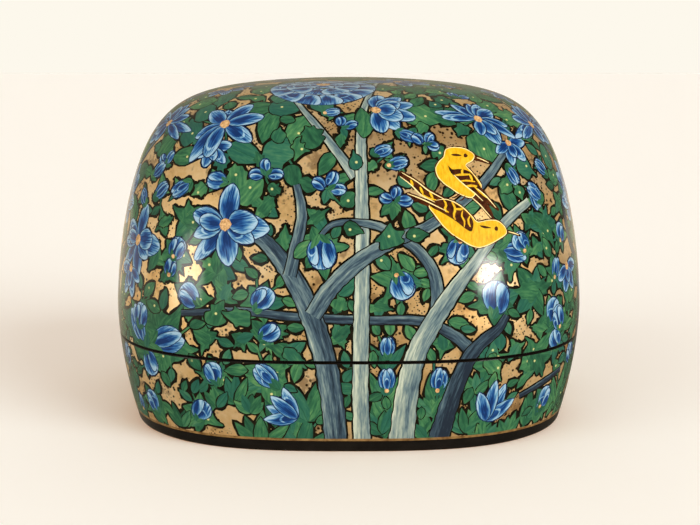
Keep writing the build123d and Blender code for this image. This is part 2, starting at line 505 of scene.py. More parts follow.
def bough(side, points, tone=0.3, layer=BOUGH, paint="bark", contour=0.5, ragged=0.07):
    """A trunk, branch or stem along given points (x, up, width) of one side."""
    route = stroke_path(points)
    line = on_side(side, route[:, 0], route[:, 1])
    normal = normals(*unroll(line))
    heading = np.gradient(line, axis=0)
    heading /= np.linalg.norm(heading, axis=1, keepdims=True)
    beside = np.cross(heading, normal)
    half = route[:, 2:] / 2
    travelled = np.concatenate([[0], np.cumsum(np.linalg.norm(np.diff(line, axis=0), axis=1))])
    known = np.arange(len(line))
    fine = np.linspace(0, len(line) - 1, 5 * len(line))
    path = {"travelled": np.interp(fine, known, travelled)}
    for label, values in (("line", line), ("heading", heading), ("beside", beside)):
        path[label] = np.stack([np.interp(fine, known, column) for column in values.T], axis=1)
    wobble = [uneven(len(line), ragged) for _ in range(2)]

    def band(extra):
        """The outline of the bough, this much wider on each side."""
        left = line - beside * (half * wobble[0] + extra)
        right = line + beside * (half * wobble[1] + extra)
        return np.concatenate([left, right[::-1]])

    place = Place(side, route[0, 0], route[0, 1])
    size = (travelled[-1], 2 * float(half.max()))
    if contour:
        lay(GROUND, "contour", band(contour), place)
        lay(layer, "contour", band(contour * 0.55), place)
    lay(layer, paint, band(0), place, size, tone, path)
    return route


# ---------------------------------------------------------------- birds
# Outlines and strokes of each bird, in millimetres to the right of and up from the middle of its body
PERCHED = {
    "tail": [[(2.8, -4.1), (4.3, -3.4), (5.8, -4.5), (7.6, -6), (9, -8.8), (8.1, -8.8), (5.6, -6.5)],
             [(4, -1.7), (5.8, -2.3), (7.8, -3.9), (10.4, -6.4), (9.4, -6.3), (6.4, -4.6),
              (3.7, -2.7)]],
    "beak": [(3.6, 6.9), (5.4, 6.5), (8.6, 5.3), (8, 4.9), (5.3, 5.3), (3.2, 5.6)],
    "body": [(-3.3, 7.6), (-2, 8.2), (-0.4, 8.4), (1.7, 8.1), (3.8, 6.9), (3.2, 5.3), (1.4, 3.9),
             (2.7, 2.3), (4.5, 0.3), (5.4, -1.4), (4, -2.8), (2.8, -4.1), (0.2, -3.6), (-2, -2.4),
             (-4.1, -1), (-5.6, 0.7), (-6, 2.7), (-5.1, 4.3), (-3.9, 5.7)],
    "wing": [(-3, 3.4), (-2, 2.5), (-0.4, 2.7), (1.3, 2.6), (2.9, 1.9), (4.2, 0.2), (5.4, -1.5),
             (7.4, -3.4), (6.9, -4.4), (4.5, -3.3), (2.2, -2.2), (-0.5, -0.1), (-2.4, 1.6)],
    "bars": [[(0.7, 2.7), (0.4, 2), (0.7, 1.3)], [(-1.4, 1), (0.3, 1.3), (2.4, 1.5)],
             [(2.2, 1.7), (2.8, 0.8), (3.1, -0.3)], [(-0.2, -0.4), (1.6, -0.1), (3.8, -0.2)],
             [(1, -1.7), (2.6, -1.3), (4.3, -1.3)], [(3.3, -1.2), (5, -2.6), (6.9, -3.9)]],
    "pale": [[(-1.7, 1.1), (0.8, -1.1), (3.7, -3.1), (5.9, -4.8)],
             [(4.4, -1.9), (6.6, -3.4), (9.6, -6)], [(2.9, -4.2), (5, -5.7), (6.9, -7.4), (8.3, -8.6)],
             [(4.6, 6.2), (6.2, 5.8), (7.9, 5.2)]],
    "dark": [[(-0.3, -3.4), (-1, -4.2), (-2.2, -4.6)], [(1.2, -3.8), (0.7, -4.7), (-0.3, -5.2)]],
    "eye": (1.6, 6.4),
    "brow": [(-2.2, 6.3), (-0.8, 6.7), (0.6, 6.3), (-0.9, 6)],
    "room": [(0, 6.2, 3.6), (-1.6, 1.6, 4.6), (2, -1, 3.6), (6.4, -5, 2.6)],
}
LEANING = {
    "tail": [[(-15, 13.2), (-14.2, 13.6), (-12.2, 12.4), (-10.3, 11), (-7.6, 8.7), (-3.6, 6.4),
              (-4.1, 3.9), (-6.4, 5.2), (-9.6, 7.4), (-12.1, 10), (-14.6, 12.3)],
             [(-13.2, 8), (-11.2, 7.4), (-9.3, 6.5), (-6.4, 5.4), (-3.7, 3.6), (-5.2, 3.4), (-7.7, 4.4),
              (-11.2, 6)]],
    "beak": [(12.1, -0.5), (13.6, -0.7), (17, -1.4), (16.8, -1.8), (13.9, -1.4), (12, -1.5)],
    "body": [(-7.7, 4.5), (-6, 2), (-4.3, -0.2), (-2.1, -2.2), (0.5, -3.7), (2.7, -4.8), (4.8, -5.2),
             (7.6, -4.3), (10.2, -2.9), (12.4, -1.4), (11.9, 0.1), (10, 1.3), (7.5, 1.4), (4.8, 0.8),
             (3.8, 1), (2.7, 2.2), (1.1, 3.7), (-0.9, 5.1), (-3.6, 6.1), (-5.8, 5.8)],
    "wing": [(-7.7, 4.6), (-6.8, 5.7), (-3.6, 6.1), (-1, 5), (1, 3.6), (2.4, 2.2), (3.2, 0.6),
             (2.7, -1.5), (1, -0.8), (-1.3, 0.9), (-4.1, 2.6)],
    "bars": [[(-4.2, 6), (-3.6, 4.9), (-4, 3.6), (-3, 3)],
             [(-2.2, 5.6), (-1.4, 3.9), (-1.8, 2.3), (-1.4, 1.2)],
             [(-1.5, 3.9), (-0.3, 3.8), (0.6, 3.9)], [(0.5, 3.5), (0.2, 2.2), (0.9, 0.9), (0.8, -0.5)],
             [(2.3, 2.2), (1.8, 1), (2.4, -0.4)], [(-9.4, 7.5), (-7.9, 6.5), (-6, 6)],
             [(-12.1, 11.3), (-11.6, 9.7)], [(-9.9, 9.4), (-9.2, 7.6)], [(-7.6, 8.1), (-6.8, 6.4)]],
    "pale": [[(-14.7, 12.3), (-12.1, 10), (-9.6, 7.3), (-6.4, 5.5)],
             [(-13, 7.8), (-9.3, 6.2), (-6.4, 4.7), (-3.8, 3.4)],
             [(-14.2, 13.3), (-10.5, 10.7), (-7.7, 8.3), (-3.8, 6.1)],
             [(13.2, -1), (15, -1.2), (16.6, -1.5)]],
    "dark": [[(-1.6, -2.6), (-1, -3.7), (0.2, -4)]],
    "eye": (9.5, -0.5),
    "brow": [(4.8, 0), (6.3, 0), (8.1, -0.4), (6.1, -0.6)],
    "room": [(8, -1.6, 4.4), (3, -1, 4), (-2, 2.4, 4), (-7, 6, 3), (-12, 9, 2.4)],
}


def bird(place, pose, hand=1):
    """A small yellow bird, which faces right if hand is 1 and left if it is -1."""
    flip = np.array([hand, 1])

    def part(outline, paint, tone=0.5, line=0.25, rim=0.0):
        """One patch, with a pale rim and a dark line round it as wide as these say."""
        shape = smooth(np.array(outline) * flip, 3)
        if line:
            lay(BIRD, "wing", place.points(outset(shape, line + rim, 0.3)), place, tone=0.1)
        if rim:
            lay(BIRD, paint, place.points(outset(shape, rim, 0.3)), place, tone=1.0)
        lay(BIRD, paint, place.points(shape), place, tone=tone)

    def stroke(points, width, paint, tone):
        """A thin stroke through these points, tapered to both ends."""
        route = stroke_path([(*point, 0) for point in points], 0.6)[:, :2] * flip
        half = width / 2 * np.sin(np.linspace(0.5, math.pi - 0.5, len(route)))[:, None]
        lay(BIRD, paint, place.points(banded(route, half)), place, tone=tone)

    for feathers in pose["tail"]:
        part(feathers, "wing", line=0.15)
    part(pose["beak"], "wing", line=0.1)
    part(pose["body"], "plumage", rim=0.2)
    part(pose["wing"], "wing", line=0)
    for points in pose["bars"]:
        stroke(points, rng.uniform(0.45, 0.65), "plumage", 0.5)
    for points in pose["pale"]:
        stroke(points, 0.28, "plumage", 1.0)
    for points in pose["dark"]:
        stroke(points, 0.4, "wing", 0.5)
    dab(place.moved(across=pose["eye"][0] * hand, along=pose["eye"][1]), 0.55, "wing", BIRD, 0.1)
    part(pose["brow"], "wing", line=0)
    for x, up, radius in pose["room"]:
        take(place.moved(across=x * hand, along=up).origin, radius)


# ---------------------------------------------------------------- the composition
# Boughs of the front, which the back repeats: tone (0 dark slate, 0.35 blue grey, 0.8 pale), then
# (x, up, width)
FRONT_BOUGHS = [
    (0.25, [(-41, 34.8, 1.3), (-27, 36.3, 1.7), (-13, 35.2, 1.9), (4, 34.4, 2), (17, 34.2, 2.1),
            (25, 30.6, 2.5), (30, 26.2, 3)]),
    (0.7, [(1.5, 69, 2.4), (-3, 75.5, 2), (-8.5, 83.5, 1.6), (-11.5, 88.5, 1.2), (-14, 94, 1)]),
    (0.75, [(3.3, 3.4, 4), (2.8, 18, 3.8), (3, 34, 3.6), (3.3, 52, 3.2), (3, 68, 2.8), (3.2, 84, 1.9),
            (5, 95, 1.3), (7.5, 112, 0.9)]),
    (0.4, [(-7, 54.4, 0.9), (-4, 57.3, 1.3), (1, 57.9, 1.5), (7, 57, 1.8), (12, 54.4, 2),
           (17, 50.6, 2.4), (20.4, 45.5, 2.7), (21.3, 39, 3), (20, 33, 3)]),
    (0.35, [(-3.2, 3.4, 5.4), (-4, 14, 5.3), (-5.8, 25, 5.2), (-9.2, 36, 5), (-14, 45.5, 4.2),
            (-19.5, 52.6, 3.5), (-25, 56.6, 2.6)]),
    (0.4, [(-14.2, 45, 3), (-12.6, 52, 2.7), (-11.2, 60, 2.3), (-12.5, 67, 1.5)]),
    (0.45, [(-8.6, 35.5, 4), (-4.6, 41.8, 3.9), (2.5, 48.6, 3.6), (10.5, 53.4, 3.2), (18, 56.2, 2.7),
            (26, 61.5, 2.4), (33, 67.5, 2.1), (38.5, 74.5, 1.7)]),
    (0.7, [(13, 3.4, 6.2), (14, 15, 5.4), (16, 25, 4.8), (19.4, 32.4, 4.6), (24.3, 39.8, 3.9),
           (31, 48.6, 2.7), (38, 57, 2.5), (44.5, 61.8, 2)]),
    (0.12, [(22.2, 3.4, 5), (25, 14, 4.4), (28.4, 23, 3.8), (31.4, 27.4, 3.2), (36.5, 31.4, 2.4),
            (38.5, 34.5, 1.6)]),
    (0.12, [(42.5, 13, 1.1), (48, 15, 1.5), (54.5, 17.5, 1.1)]),
]
# Boughs of the right side, which the left side repeats
SIDE_BOUGHS = [
    (0.3, [(38, 36, 1.2), (22, 33.6, 1.9), (4, 35.6, 2.1), (-14, 33, 2.2), (-27, 27.5, 2.4)]),
    (0.75, [(-8, 3.4, 4.4), (-6.4, 20, 4), (-7.4, 38, 3.6), (-4, 56, 3.2), (-5.4, 74, 2.7),
            (-1.6, 90, 2), (-3, 108, 1.2)]),
    (0.4, [(8, 3.4, 5.6), (9, 16, 5), (13.5, 29, 4.6), (12, 41, 4), (18.4, 53, 3.1), (27, 60, 2.4),
           (31, 70, 1.6)]),
    (0.4, [(12.4, 41, 3.4), (5, 49, 3.2), (-6, 57, 2.8), (-17, 61, 2.4), (-27, 70, 1.8),
           (-33, 80, 1.3)]),
    (0.7, [(24, 3.4, 4.6), (27.5, 16, 4), (29, 30, 3.6), (36, 42, 3), (38, 54, 2.2), (44, 62, 1.5)]),
    (0.12, [(-24, 3.4, 5), (-26.4, 15, 4.4), (-30.5, 27, 3.8), (-29, 40, 3.2), (-35, 51, 2.5),
            (-34, 62, 1.7)]),
    (0.4, [(16, 50, 2.2), (14, 62, 2.1), (19, 74, 1.8), (15.5, 86, 1.4), (17, 98, 1)]),
]

# Kinds of open flower: petals as (degrees to the right of up, length, width) for a radius of one
STAR = [
    (222, 1.15, 0.4), (172, 0.95, 0.5), (10, 0.92, 0.5), (95, 1.05, 0.58), (122, 0.72, 0.42),
    (258, 0.85, 0.38), (294, 0.86, 0.46), (278, 0.66, 0.4), (80, 0.7, 0.56),
]
STARRY = [
    (8, 0.5, 0.42), (325, 0.75, 0.5), (46, 0.95, 0.44), (138, 1.0, 0.44), (90, 1.08, 0.46),
    (262, 0.85, 0.4), (236, 1.4, 0.5), (216, 1.05, 0.46),
]
HALF_OPEN = [
    (8, 0.8, 0.5), (40, 1.0, 0.5), (72, 1.15, 0.5), (104, 1.15, 0.5), (136, 1.0, 0.5), (168, 0.85, 0.5),
    (56, 0.75, 0.58), (112, 0.8, 0.58), (84, 0.52, 0.56),
]
WIDE = [
    (272, 1.4, 0.3), (256, 1.15, 0.3), (302, 0.9, 0.34), (334, 0.7, 0.36), (4, 0.72, 0.44),
    (36, 0.76, 0.5), (80, 1.1, 0.32), (97, 1.4, 0.3), (130, 1.0, 0.6), (126, 0.66, 0.4),
    (170, 0.6, 0.4),
]
LOOSE = [(100, 0.9, 0.5), (150, 1.0, 0.5), (204, 0.95, 0.5), (252, 0.85, 0.44), (176, 0.6, 0.44)]
# The rings of the rosette: count, length, width and distance from the middle
ROSETTE = [(13, 0.5, 0.56, 0.5), (9, 0.44, 0.54, 0.26), (5, 0.34, 0.46, 0.04)]

# Open flowers: x, up, radius, turn, kind (None for the rosette)
FRONT_FLOWERS = [
    (-33.4, 76.2, 5.4, 0, LOOSE), (-30.6, 82.8, 8.8, 0, STARRY), (-29.8, 57, 10.2, 0, STAR),
    (-53.4, 51, 9.6, 0.3, STAR), (-6.6, 102.6, 13.4, 0, None), (6.6, 88, 8.4, 0, HALF_OPEN),
    (39.6, 77, 6.2, -0.6, LOOSE), (32, 84.4, 8, 0, WIDE), (-31.8, 99, 6, 0.5, LOOSE),
    (40.4, 93.4, 6, 0.8, LOOSE),
]
BACK_FLOWERS = [flower for flower in FRONT_FLOWERS if flower[-1] is not None]  # no rosette there
SIDE_FLOWERS = [
    (27, 84, 9.6, 0.6, STARRY), (-30, 81.5, 9, 0.2, WIDE), (36, 56.4, 10, 0.5, STAR),
    (-24, 60, 10, -2.2, HALF_OPEN), (4, 99, 9.4, 0.3, HALF_OPEN), (-40, 44, 7, 0, LOOSE),
    (2, 69, 8, 2.4, STAR),
]
# On top: side, x, up, radius, turn, kind
CROWN_FLOWERS = [
    (0, 13, 114, 8.6, 0.5, STARRY), (2, 7, 108, 9.4, -0.2, WIDE), (3, -2, 121, 8.4, 1.2, HALF_OPEN),
]
# Clusters of small buds on top: side, x, up, turn, length, count
CROWN_BUDS = [
    (0, -17, 116, -0.6, 3.5, 3), (0, 24, 104, 0.5, 3.4, 2), (2, 21, 101, 0.4, 3.5, 3),
    (2, -17, 104, -0.6, 3.5, 3), (1, 18, 112, 0.5, 3.4, 2), (3, 15, 106, 0.3, 3.5, 3),
    (2, -4, 126, 0.3, 3.5, 3), (3, -17, 108, -0.4, 3.4, 2),
]
# Leaves painted over the boughs: x, up, turn, length, width
FRONT_OVERLEAVES = [
    (3.6, 79, 0.1, 10, 4.6), (6, 84, 0.5, 7.5, 4), (-7.5, 76.5, -0.5, 7, 6), (2.2, 71, -0.4, 4.5, 3.5),
    (10.4, 52, -0.3, 5.6, 6), (14, 54.5, 1.3, 5, 3.4), (-13, 49.5, 0.9, 5.5, 3.2),
    (-33, 32.5, 0.3, 6.5, 5.5), (-24, 34.4, -1.5, 7, 4.4), (37, 64.5, 0.8, 6, 4),
    (-1, 57, 1.9, 4.6, 3.6),
]
# Buds: x, up, turn, length, and what grows there: -1 a slender bud on a stem, 0 a slender one over leaves,
# 1 a plump one, or 2 or 3 small ones
FRONT_BUDS = [
    (-41.5, 65.1, -1.9, 5.8, 0), (-32.2, 67.6, -1.3, 4.7, 1), (-20, 69.5, 0, 3.5, 3),
    (-5, 66, 0.2, 3.8, 3), (-3.9, 87.2, 1.4, 4.1, 0), (-1.6, 82, 0.4, 3.2, 2), (8.4, 75.6, 1.2, 4.7, 0),
    (12, 72.4, 1.3, 5, 0), (14.4, 79.6, 2, 4.7, 0), (18.4, 77.2, 0.4, 3.2, 3), (11, 62.8, 0, 3.5, 3),
    (40.4, 68.4, 2.5, 5, 0), (27.3, 93.7, 0.2, 3.4, 2), (-46, 70.6, -0.6, 3.4, 3),
    (46.4, 62, 2.6, 5.6, 0), (-52, 62, -0.4, 5, 0), (46, 84, 2.2, 5.8, 0), (-43.8, 45.8, 0.3, 4.2, 1),
    (-38.9, 39.5, -0.9, 6, 1), (-20.5, 39.5, 0.6, 5.8, 1), (-6.4, 50.2, 3.0, 7.1, 1),
    (12.7, 42.5, 2.7, 6.3, 1), (35.7, 39.2, 0.1, 7.8, 1), (51.2, 34, 0.4, 6.3, 1),
    (26.2, 50.4, -2.9, 5.6, 1), (40.8, 49.6, 1.7, 7.1, 0), (52.1, 44.6, 0.2, 5.6, 0),
    (53.7, 53, 0, 4.7, 1), (-44.8, 27.6, 1.2, 11, 0), (-53.6, 30.4, -0.55, 10.5, 0),
    (-18.9, 31.2, 0.9, 5, 1), (52.1, 26.2, -0.5, 5.6, 1), (-50.1, 20.3, 2.6, 6.3, 1),
    (-33.1, 20.6, -0.4, 5.2, 1), (-20.3, 20.6, -0.8, 7.4, 0), (-36.4, 10, 0.4, 5.8, 1),
    (-53.9, 8, -0.3, 4.7, 0), (9.2, 19.6, 0, 6, -1), (9.3, 28, 0, 5, -1), (22, 19.4, 0.15, 6.1, -1),
    (49, 9, 0.7, 4.8, 0),
]
SIDE_BUDS = [
    (-46, 64, -0.5, 5.8, 0), (-46, 32, -0.3, 6, 1), (-37, 21, -0.7, 5.6, 1), (-46, 11, 0.2, 5.8, 1),
    (-15, 45, -0.4, 6.5, 0), (-16, 25, 0.4, 5.6, 1), (-12, 76, -0.6, 3.5, 3), (-1, 28, -0.1, 6, -1),
    (1, 47, 0.5, 6.5, 1), (21, 42, 0.5, 6.5, 1), (20.4, 24, 0.2, 6, -1), (-40, 70, -0.5, 5.4, 0),
    (21, 70, 0.7, 3.5, 3), (42, 72, 0.5, 5.4, 0), (46, 45, 0.4, 6.5, 1), (42, 32, 0.9, 6.1, 0),
    (39, 20, 0.3, 5.6, 1), (50, 12, 0.4, 5, 0), (-18, 93, -0.4, 3.5, 3), (-9, 84, -0.8, 3.4, 2),
    (14, 86, 0.4, 3.4, 3), (20, 103, 0.5, 3.5, 2), (-27, 36, 0.5, 5.8, 1), (-24, 104, -0.2, 4.5, 0),
    (29, 46, -0.4, 5.2, 0), (-53, 52, -0.2, 5.2, 1), (8, 60, 0.8, 3.7, 3), (47, 84, -0.6, 4.5, 0),
]
# Lilies: x, up, turn, length
FRONT_LILIES = [(34, 7.4, 0.42, 10.8), (-12.6, 9.4, -1.1, 10)]
SIDE_LILIES = [(-17, 8.4, 0.15, 10.5), (33, 7, -0.2, 10), (0.5, 12, 0.1, 9)]
# Leafy plants that stand on the black edge: x, height of the stem, lean
FRONT_PLANTS = [(8.9, 14, 0), (20.4, 12, 0.1), (-15, 6, -0.3), (32, 8, 0.1), (44, 6, 0.5)]
SIDE_PLANTS = [(-1, 20, 0.05), (17, 15, 0.1), (42, 11, 0.1), (-14, 11, -0.1), (-46, 7, 0)]

# Where the gold ground stays open: x, up, radius
FRONT_GAPS = [
    (-15, 59, 2.7), (-3, 60, 2.7), (-24, 51, 2.5), (-26, 44, 2.5), (-19, 46, 2.5), (0, 55, 2.2),
    (-10, 45, 2.5), (0, 48, 2.5), (7, 60, 2), (12, 51, 2.5), (8, 44, 2.4), (17, 38, 2.5), (20, 54, 2.5),
    (-24, 34.5, 2.2), (24, 43, 2.5), (31, 46, 2.6), (44.5, 47, 2.6), (34, 45.4, 2.2), (41, 43, 2.5),
    (27, 37, 2.2), (39, 59, 2), (-26, 91, 1.9), (-20, 78, 2.1), (-36, 69, 2.6), (-31, 64, 1.6),
    (-43, 60, 2.6), (-10, 73, 2.7), (-15, 66, 2.1), (-49, 72, 1.9), (-38.6, 49.2, 2.4), (-41.2, 52, 2),
    (-36.6, 45, 2.2), (-47.4, 41.4, 2.2), (-26.5, 98.4, 1.9), (-7, 84, 1.9), (7, 80, 2.6),
    (21, 82, 2.7), (27, 77.5, 1.9), (0, 75, 1.6), (17, 72, 1.9), (7, 69, 1.9), (32, 71.5, 2.7),
    (24, 68, 1.9), (-31, 32, 2.5), (-11, 30, 2.5), (-26, 25, 2.2), (-40, 19, 2.5), (-44, 13.5, 3.2),
    (-10, 20, 2.2), (-28, 9, 3.2), (-45, 6, 2), (42, 31, 3.4), (32, 32, 2.2), (51, 28, 2.2),
    (40, 20, 2.5), (51, 21, 2), (18, 19, 2), (42, 9, 2.2),
]

# Birds: side, x, up, turn, pose, hand
BIRDS = [
    (0, 27, 68, 0, PERCHED, 1), (0, 27, 57, 0, LEANING, 1), (2, -27, 68, 0, PERCHED, -1),
    (2, -27, 57, 0, LEANING, -1), (1, 6, 76, 0.2, LEANING, -1), (3, -6, 76, -0.2, LEANING, 1),
]

taken = []  # places and radii that hold something, or stay open
gaps = set()  # which of them stay open


def take(point, radius, gap=False):
    """Keeps room round a point, for what is there or for bare gold."""
    if gap:
        gaps.add(len(taken))
    taken.append((point, radius))


def paint_flower(place, radius, kind, mirror=1):
    """An open flower and its room."""
    if kind is None:
        rosette(place, radius)
    else:
        blossom(place, radius, [(mirror * degrees, length, width) for degrees, length, width in kind])
    take(place.origin, radius * FLOWER_ROOM)


def paint_cluster(place, length, count):
    """A cluster of buds and its room."""
    cluster(place, length, count)
    take(place.origin, length * CLUSTER_ROOM)


def paint_side(side, boughs, flowers, buds, lilies, plants, overleaves=(), mirror=1, loose=0.0):
    """One side of the box. Mirror -1 turns the composition about, and loose shifts its flowers."""
    def shifted(x, up):
        """A composed place, turned about and shifted."""
        return mirror * x + rng.uniform(-loose, loose), up + rng.uniform(-loose, loose)

    for tone, points in boughs:
        route = bough(side, [(mirror * x, up, width) for x, up, width in points], tone)
        for x, up, width in route[::2]:
            take(on_side(side, x, up), width * 0.5)
        for x, up, width in route:
            if not overleaves and up > OVERLEAF_FROM and rng.random() < OVERLEAF_SHARE:
                place = Place(side, x, up, rng.uniform(-math.pi, math.pi)).moved(along=-2.5)
                length, broad = rng.uniform(5, 7.5), rng.uniform(3.5, 5)
                leaf(place, length, broad, OVERLEAF, rng.choice(["lobed", "slender"]), True)
    for x, up, turn, length, width in overleaves:
        form = "lobed" if width > 0.6 * length else "slender"
        leaf(Place(side, mirror * x, up, mirror * turn), length, width, OVERLEAF, form, True)
    for x, up, radius, turn, kind in flowers:
        paint_flower(Place(side, *shifted(x, up), mirror * turn), radius, kind, mirror)
    for x, up, turn, length, count in buds:
        place = Place(side, *shifted(x, up), mirror * turn)
        if count > 1:
            paint_cluster(place, length, count)
            continue
        if count < 0:
            for hand in (-1, 1):
                root = place.moved(along=-1.3 * length).moved(turn=hand * rng.uniform(0.38, 0.5))
                reach = length * rng.uniform(1.5, 1.8)
                leaf(root, reach, length * rng.uniform(0.42, 0.5), form="slender")
        elif up < HIGH_LEAVES:
            clump(place.moved(along=-0.22 * length), length * 0.9, 6)
        else:
            clump(place, length * 0.6, 3)
        bud(place.moved(along=-length / 2), length, count > 0)
        take(place.origin, length * BUD_ROOM[up >= HIGH_LEAVES])
    for x, up, turn, length in lilies:
        place = Place(side, mirror * x, up, mirror * turn)
        spray(place, length)
        take(place.moved(along=length / 2).origin, length * 0.5)
    for x, height, lean in plants:
        plant(side, mirror * x, height, mirror * lean)


def plant(side, x, height, lean):
    """A stem that rises from the black edge, with leaves in pairs."""
    foot = BLACK_EDGE + 0.8
    route = [(x + lean * height * part, foot + height * part, width)
             for part, width in ((0, 0.9), (0.5, 0.8), (1, 0.6))]
    bough(side, route, 0.5, FOLIAGE, "leaf", CONTOUR * 0.6)
    pairs = max(2, int(height / 4.5))
    for number in range(pairs):
        up = foot + 0.5 + (height - 2) * number / pairs
        for hand in (-1, 1):
            place = Place(side, x + lean * (up - foot), up, lean + hand * rng.uniform(0.3, 0.62))
            length, width = rng.uniform(7, 9.5), rng.uniform(2.8, 3.6)
            leaf(place, length, width, form="slender", bend=-hand * rng.uniform(0, 0.2))


def nearest_side(point):
    """Which side of the box a point is on."""
    return int(round((math.atan2(point[1], point[0]) + math.pi / 2) / (math.pi / 2))) % 4


def leave_gaps():
    """Spots where the gold ground stays open: listed in front and behind, loose elsewhere."""
    for x, up, radius in FRONT_GAPS:
        take(on_side(0, x, up), radius, gap=True)
        take(on_side(2, -x, up), radius, gap=True)
    chooser = np.random.default_rng(SEED + 1)
    found = []
    for _ in range(GAP_TRIES):
        turn, share = chooser.uniform(-math.pi, math.pi), chooser.uniform(0, 1)
        travel = np.interp(share, np.cumsum(HALVES) / HALVES.sum(), STEPS)
        point = surface(turn, travel)
        if found and np.min(np.linalg.norm(np.array(found) - point, axis=1)) < GAP_SPACING:
            continue
        if nearest_side(point) in (0, 2) and travel > GIRTH - COMPOSED:
            continue
        found.append(point)
        take(point, chooser.uniform(*GAP_RADII), gap=True)


def fill_with_leaves():
    """Leaves on what is left: fanned upwards below, in clumps above, one by one on top."""
    starts = np.arange(0, GIRTH - BLACK_EDGE - 2.5, 0.5)
    weights = np.interp(starts, STEPS, HALVES)
    weights = weights / weights.sum()
    chooser = np.random.default_rng(SEED)
    for radius in LEAF_RADII:
        travel = chooser.choice(starts, LEAF_TRIES, p=weights) + chooser.uniform(0, 0.5, LEAF_TRIES)
        points = surface(chooser.uniform(-math.pi, math.pi, LEAF_TRIES), travel)
        busy, radii = np.array([p for p, _ in taken]), np.array([r for _, r in taken])
        for point, height in zip(points, GIRTH - travel):
            high = height > HIGH_LEAVES
            if high and radius > HIGH_RADIUS:
                continue
            room = np.linalg.norm(busy - point, axis=1) - OVERLAP[high] * (radii + radius)
            if room.min() < 0:
                continue
            held = [number for number in range(len(taken)) if number not in gaps]
            target = busy[held][np.argmin(np.linalg.norm(busy[held] - point, axis=1) - radii[held])]
            busy, radii = np.concatenate([busy, [point]]), np.append(radii, radius)
            take(point, radius)
            side = nearest_side(point)
            place = Place(side, (point @ turned(side))[0], height)
            if high:
                form = rng.choice(["lobed", "round", "lobed", "slender"])
                lone_leaf(place, radius, form, target)
            elif radius < LONE_RADIUS:
                lone_leaf(place, radius, "slender", target)
            elif height < LOW_LEAVES:
                tuft(place, radius)
            else:
                clump(place, radius, 6 if radius > BIG_CLUMP else 4)


paint_side(0, FRONT_BOUGHS, FRONT_FLOWERS, FRONT_BUDS, FRONT_LILIES, FRONT_PLANTS, FRONT_OVERLEAVES)
paint_side(1, SIDE_BOUGHS, SIDE_FLOWERS, SIDE_BUDS, SIDE_LILIES, SIDE_PLANTS)
paint_side(2, FRONT_BOUGHS, BACK_FLOWERS, FRONT_BUDS, FRONT_LILIES, FRONT_PLANTS, FRONT_OVERLEAVES, -1, 1.5)
paint_side(3, SIDE_BOUGHS, SIDE_FLOWERS, SIDE_BUDS, SIDE_LILIES, SIDE_PLANTS, (), -1, 1.5)
for side, x, up, radius, turn, kind in CROWN_FLOWERS:
    paint_flower(Place(side, x, up, turn), radius, kind)
for side, x, up, turn, length, count in CROWN_BUDS:
    paint_cluster(Place(side, x, up, turn), length, count)
for side, x, up, turn, pose, hand in BIRDS:
    bird(Place(side, x, up, turn), pose, hand)
leave_gaps()
fill_with_leaves()


# ---------------------------------------------------------------- cutting the painting
LID_END = travel_at(LID_RIM) - RIM_ROUND
BASE_START = travel_at(BASE_RIM) + RIM_ROUND
BASE_END = travel_at(BLACK_EDGE)
LINE_START, LINE_END = BASE_END - GOLD_LINE[1], BASE_END - GOLD_LINE[0]


def ring(travel, count=RING_POINTS, shift=0.0):
    """Chart points of a level ring round the box, shifted by a share of their spacing."""
    turns = (np.arange(count) + shift) * 2 * math.pi / count
    return np.stack([travel * np.cos(turns), travel * np.sin(turns)], axis=1)


def net():
    """Loose chart points, evenly spread over the box."""
    found = [np.zeros((1, 2))]
    for number, travel in enumerate(np.arange(NET_STEP, BASE_END - 1, NET_STEP)):
        count = int(RING_LENGTH * np.interp(travel, STEPS, HALVES) / NET_STEP)
        found.append(ring(travel, count, 0.5 * (number % 2)))
    return np.concatenate(found)


def cut_painting():
    """Cuts all outlines into triangles. Returns chart points, triangles and the topmost patch of each."""
    patches.sort(key=lambda patch: patch["layer"])
    seam = (LID_END - RIM_BLACK, LID_END, BASE_START, BASE_START + RIM_BLACK)
    rings = [ring(travel) for travel in (*seam, LINE_START, LINE_END, BASE_END)]
    points, edges, count = [], [], 0
    for loop in [patch["outline"] for patch in patches] + rings:
        points.append(loop)
        edges += [(count + i, count + (i + 1) % len(loop)) for i in range(len(loop))]
        count += len(loop)
    points.append(net())
    flat = [Vector(p) for p in np.concatenate(points)]
    places, _, found, _, _, _ = delaunay_2d_cdt(flat, edges, [], 0, CUT_TOLERANCE, False)
    places = np.array([tuple(place) for place in places])
    found = np.array([tuple(corners) for corners in found])
    centres = places[found].mean(axis=1)
    order = np.argsort(centres[:, 0])
    sorted_x = centres[order, 0]
    top = np.full(len(found), -1)
    for number, patch in enumerate(patches):
        outline = patch["outline"]
        low, high = outline.min(axis=0), outline.max(axis=0)
        near = order[np.searchsorted(sorted_x, low[0]):np.searchsorted(sorted_x, high[0])]
        near = near[(centres[near, 1] > low[1]) & (centres[near, 1] < high[1])]
        top[near[winding(centres[near], outline) != 0]] = number
    return places, found, top


def winding(points, outline):
    """How often the outline goes round each point."""
    start, end = outline[None], np.roll(outline, -1, 0)[None]
    x, y = points[:, :1], points[:, 1:]
    run, rise = end[..., 0] - start[..., 0], end[..., 1] - start[..., 1]
    side = run * (y - start[..., 1]) - (x - start[..., 0]) * rise
    up = (start[..., 1] <= y) & (end[..., 1] > y) & (side > 0)
    down = (start[..., 1] > y) & (end[..., 1] <= y) & (side < 0)
    return up.sum(axis=1) - down.sum(axis=1)


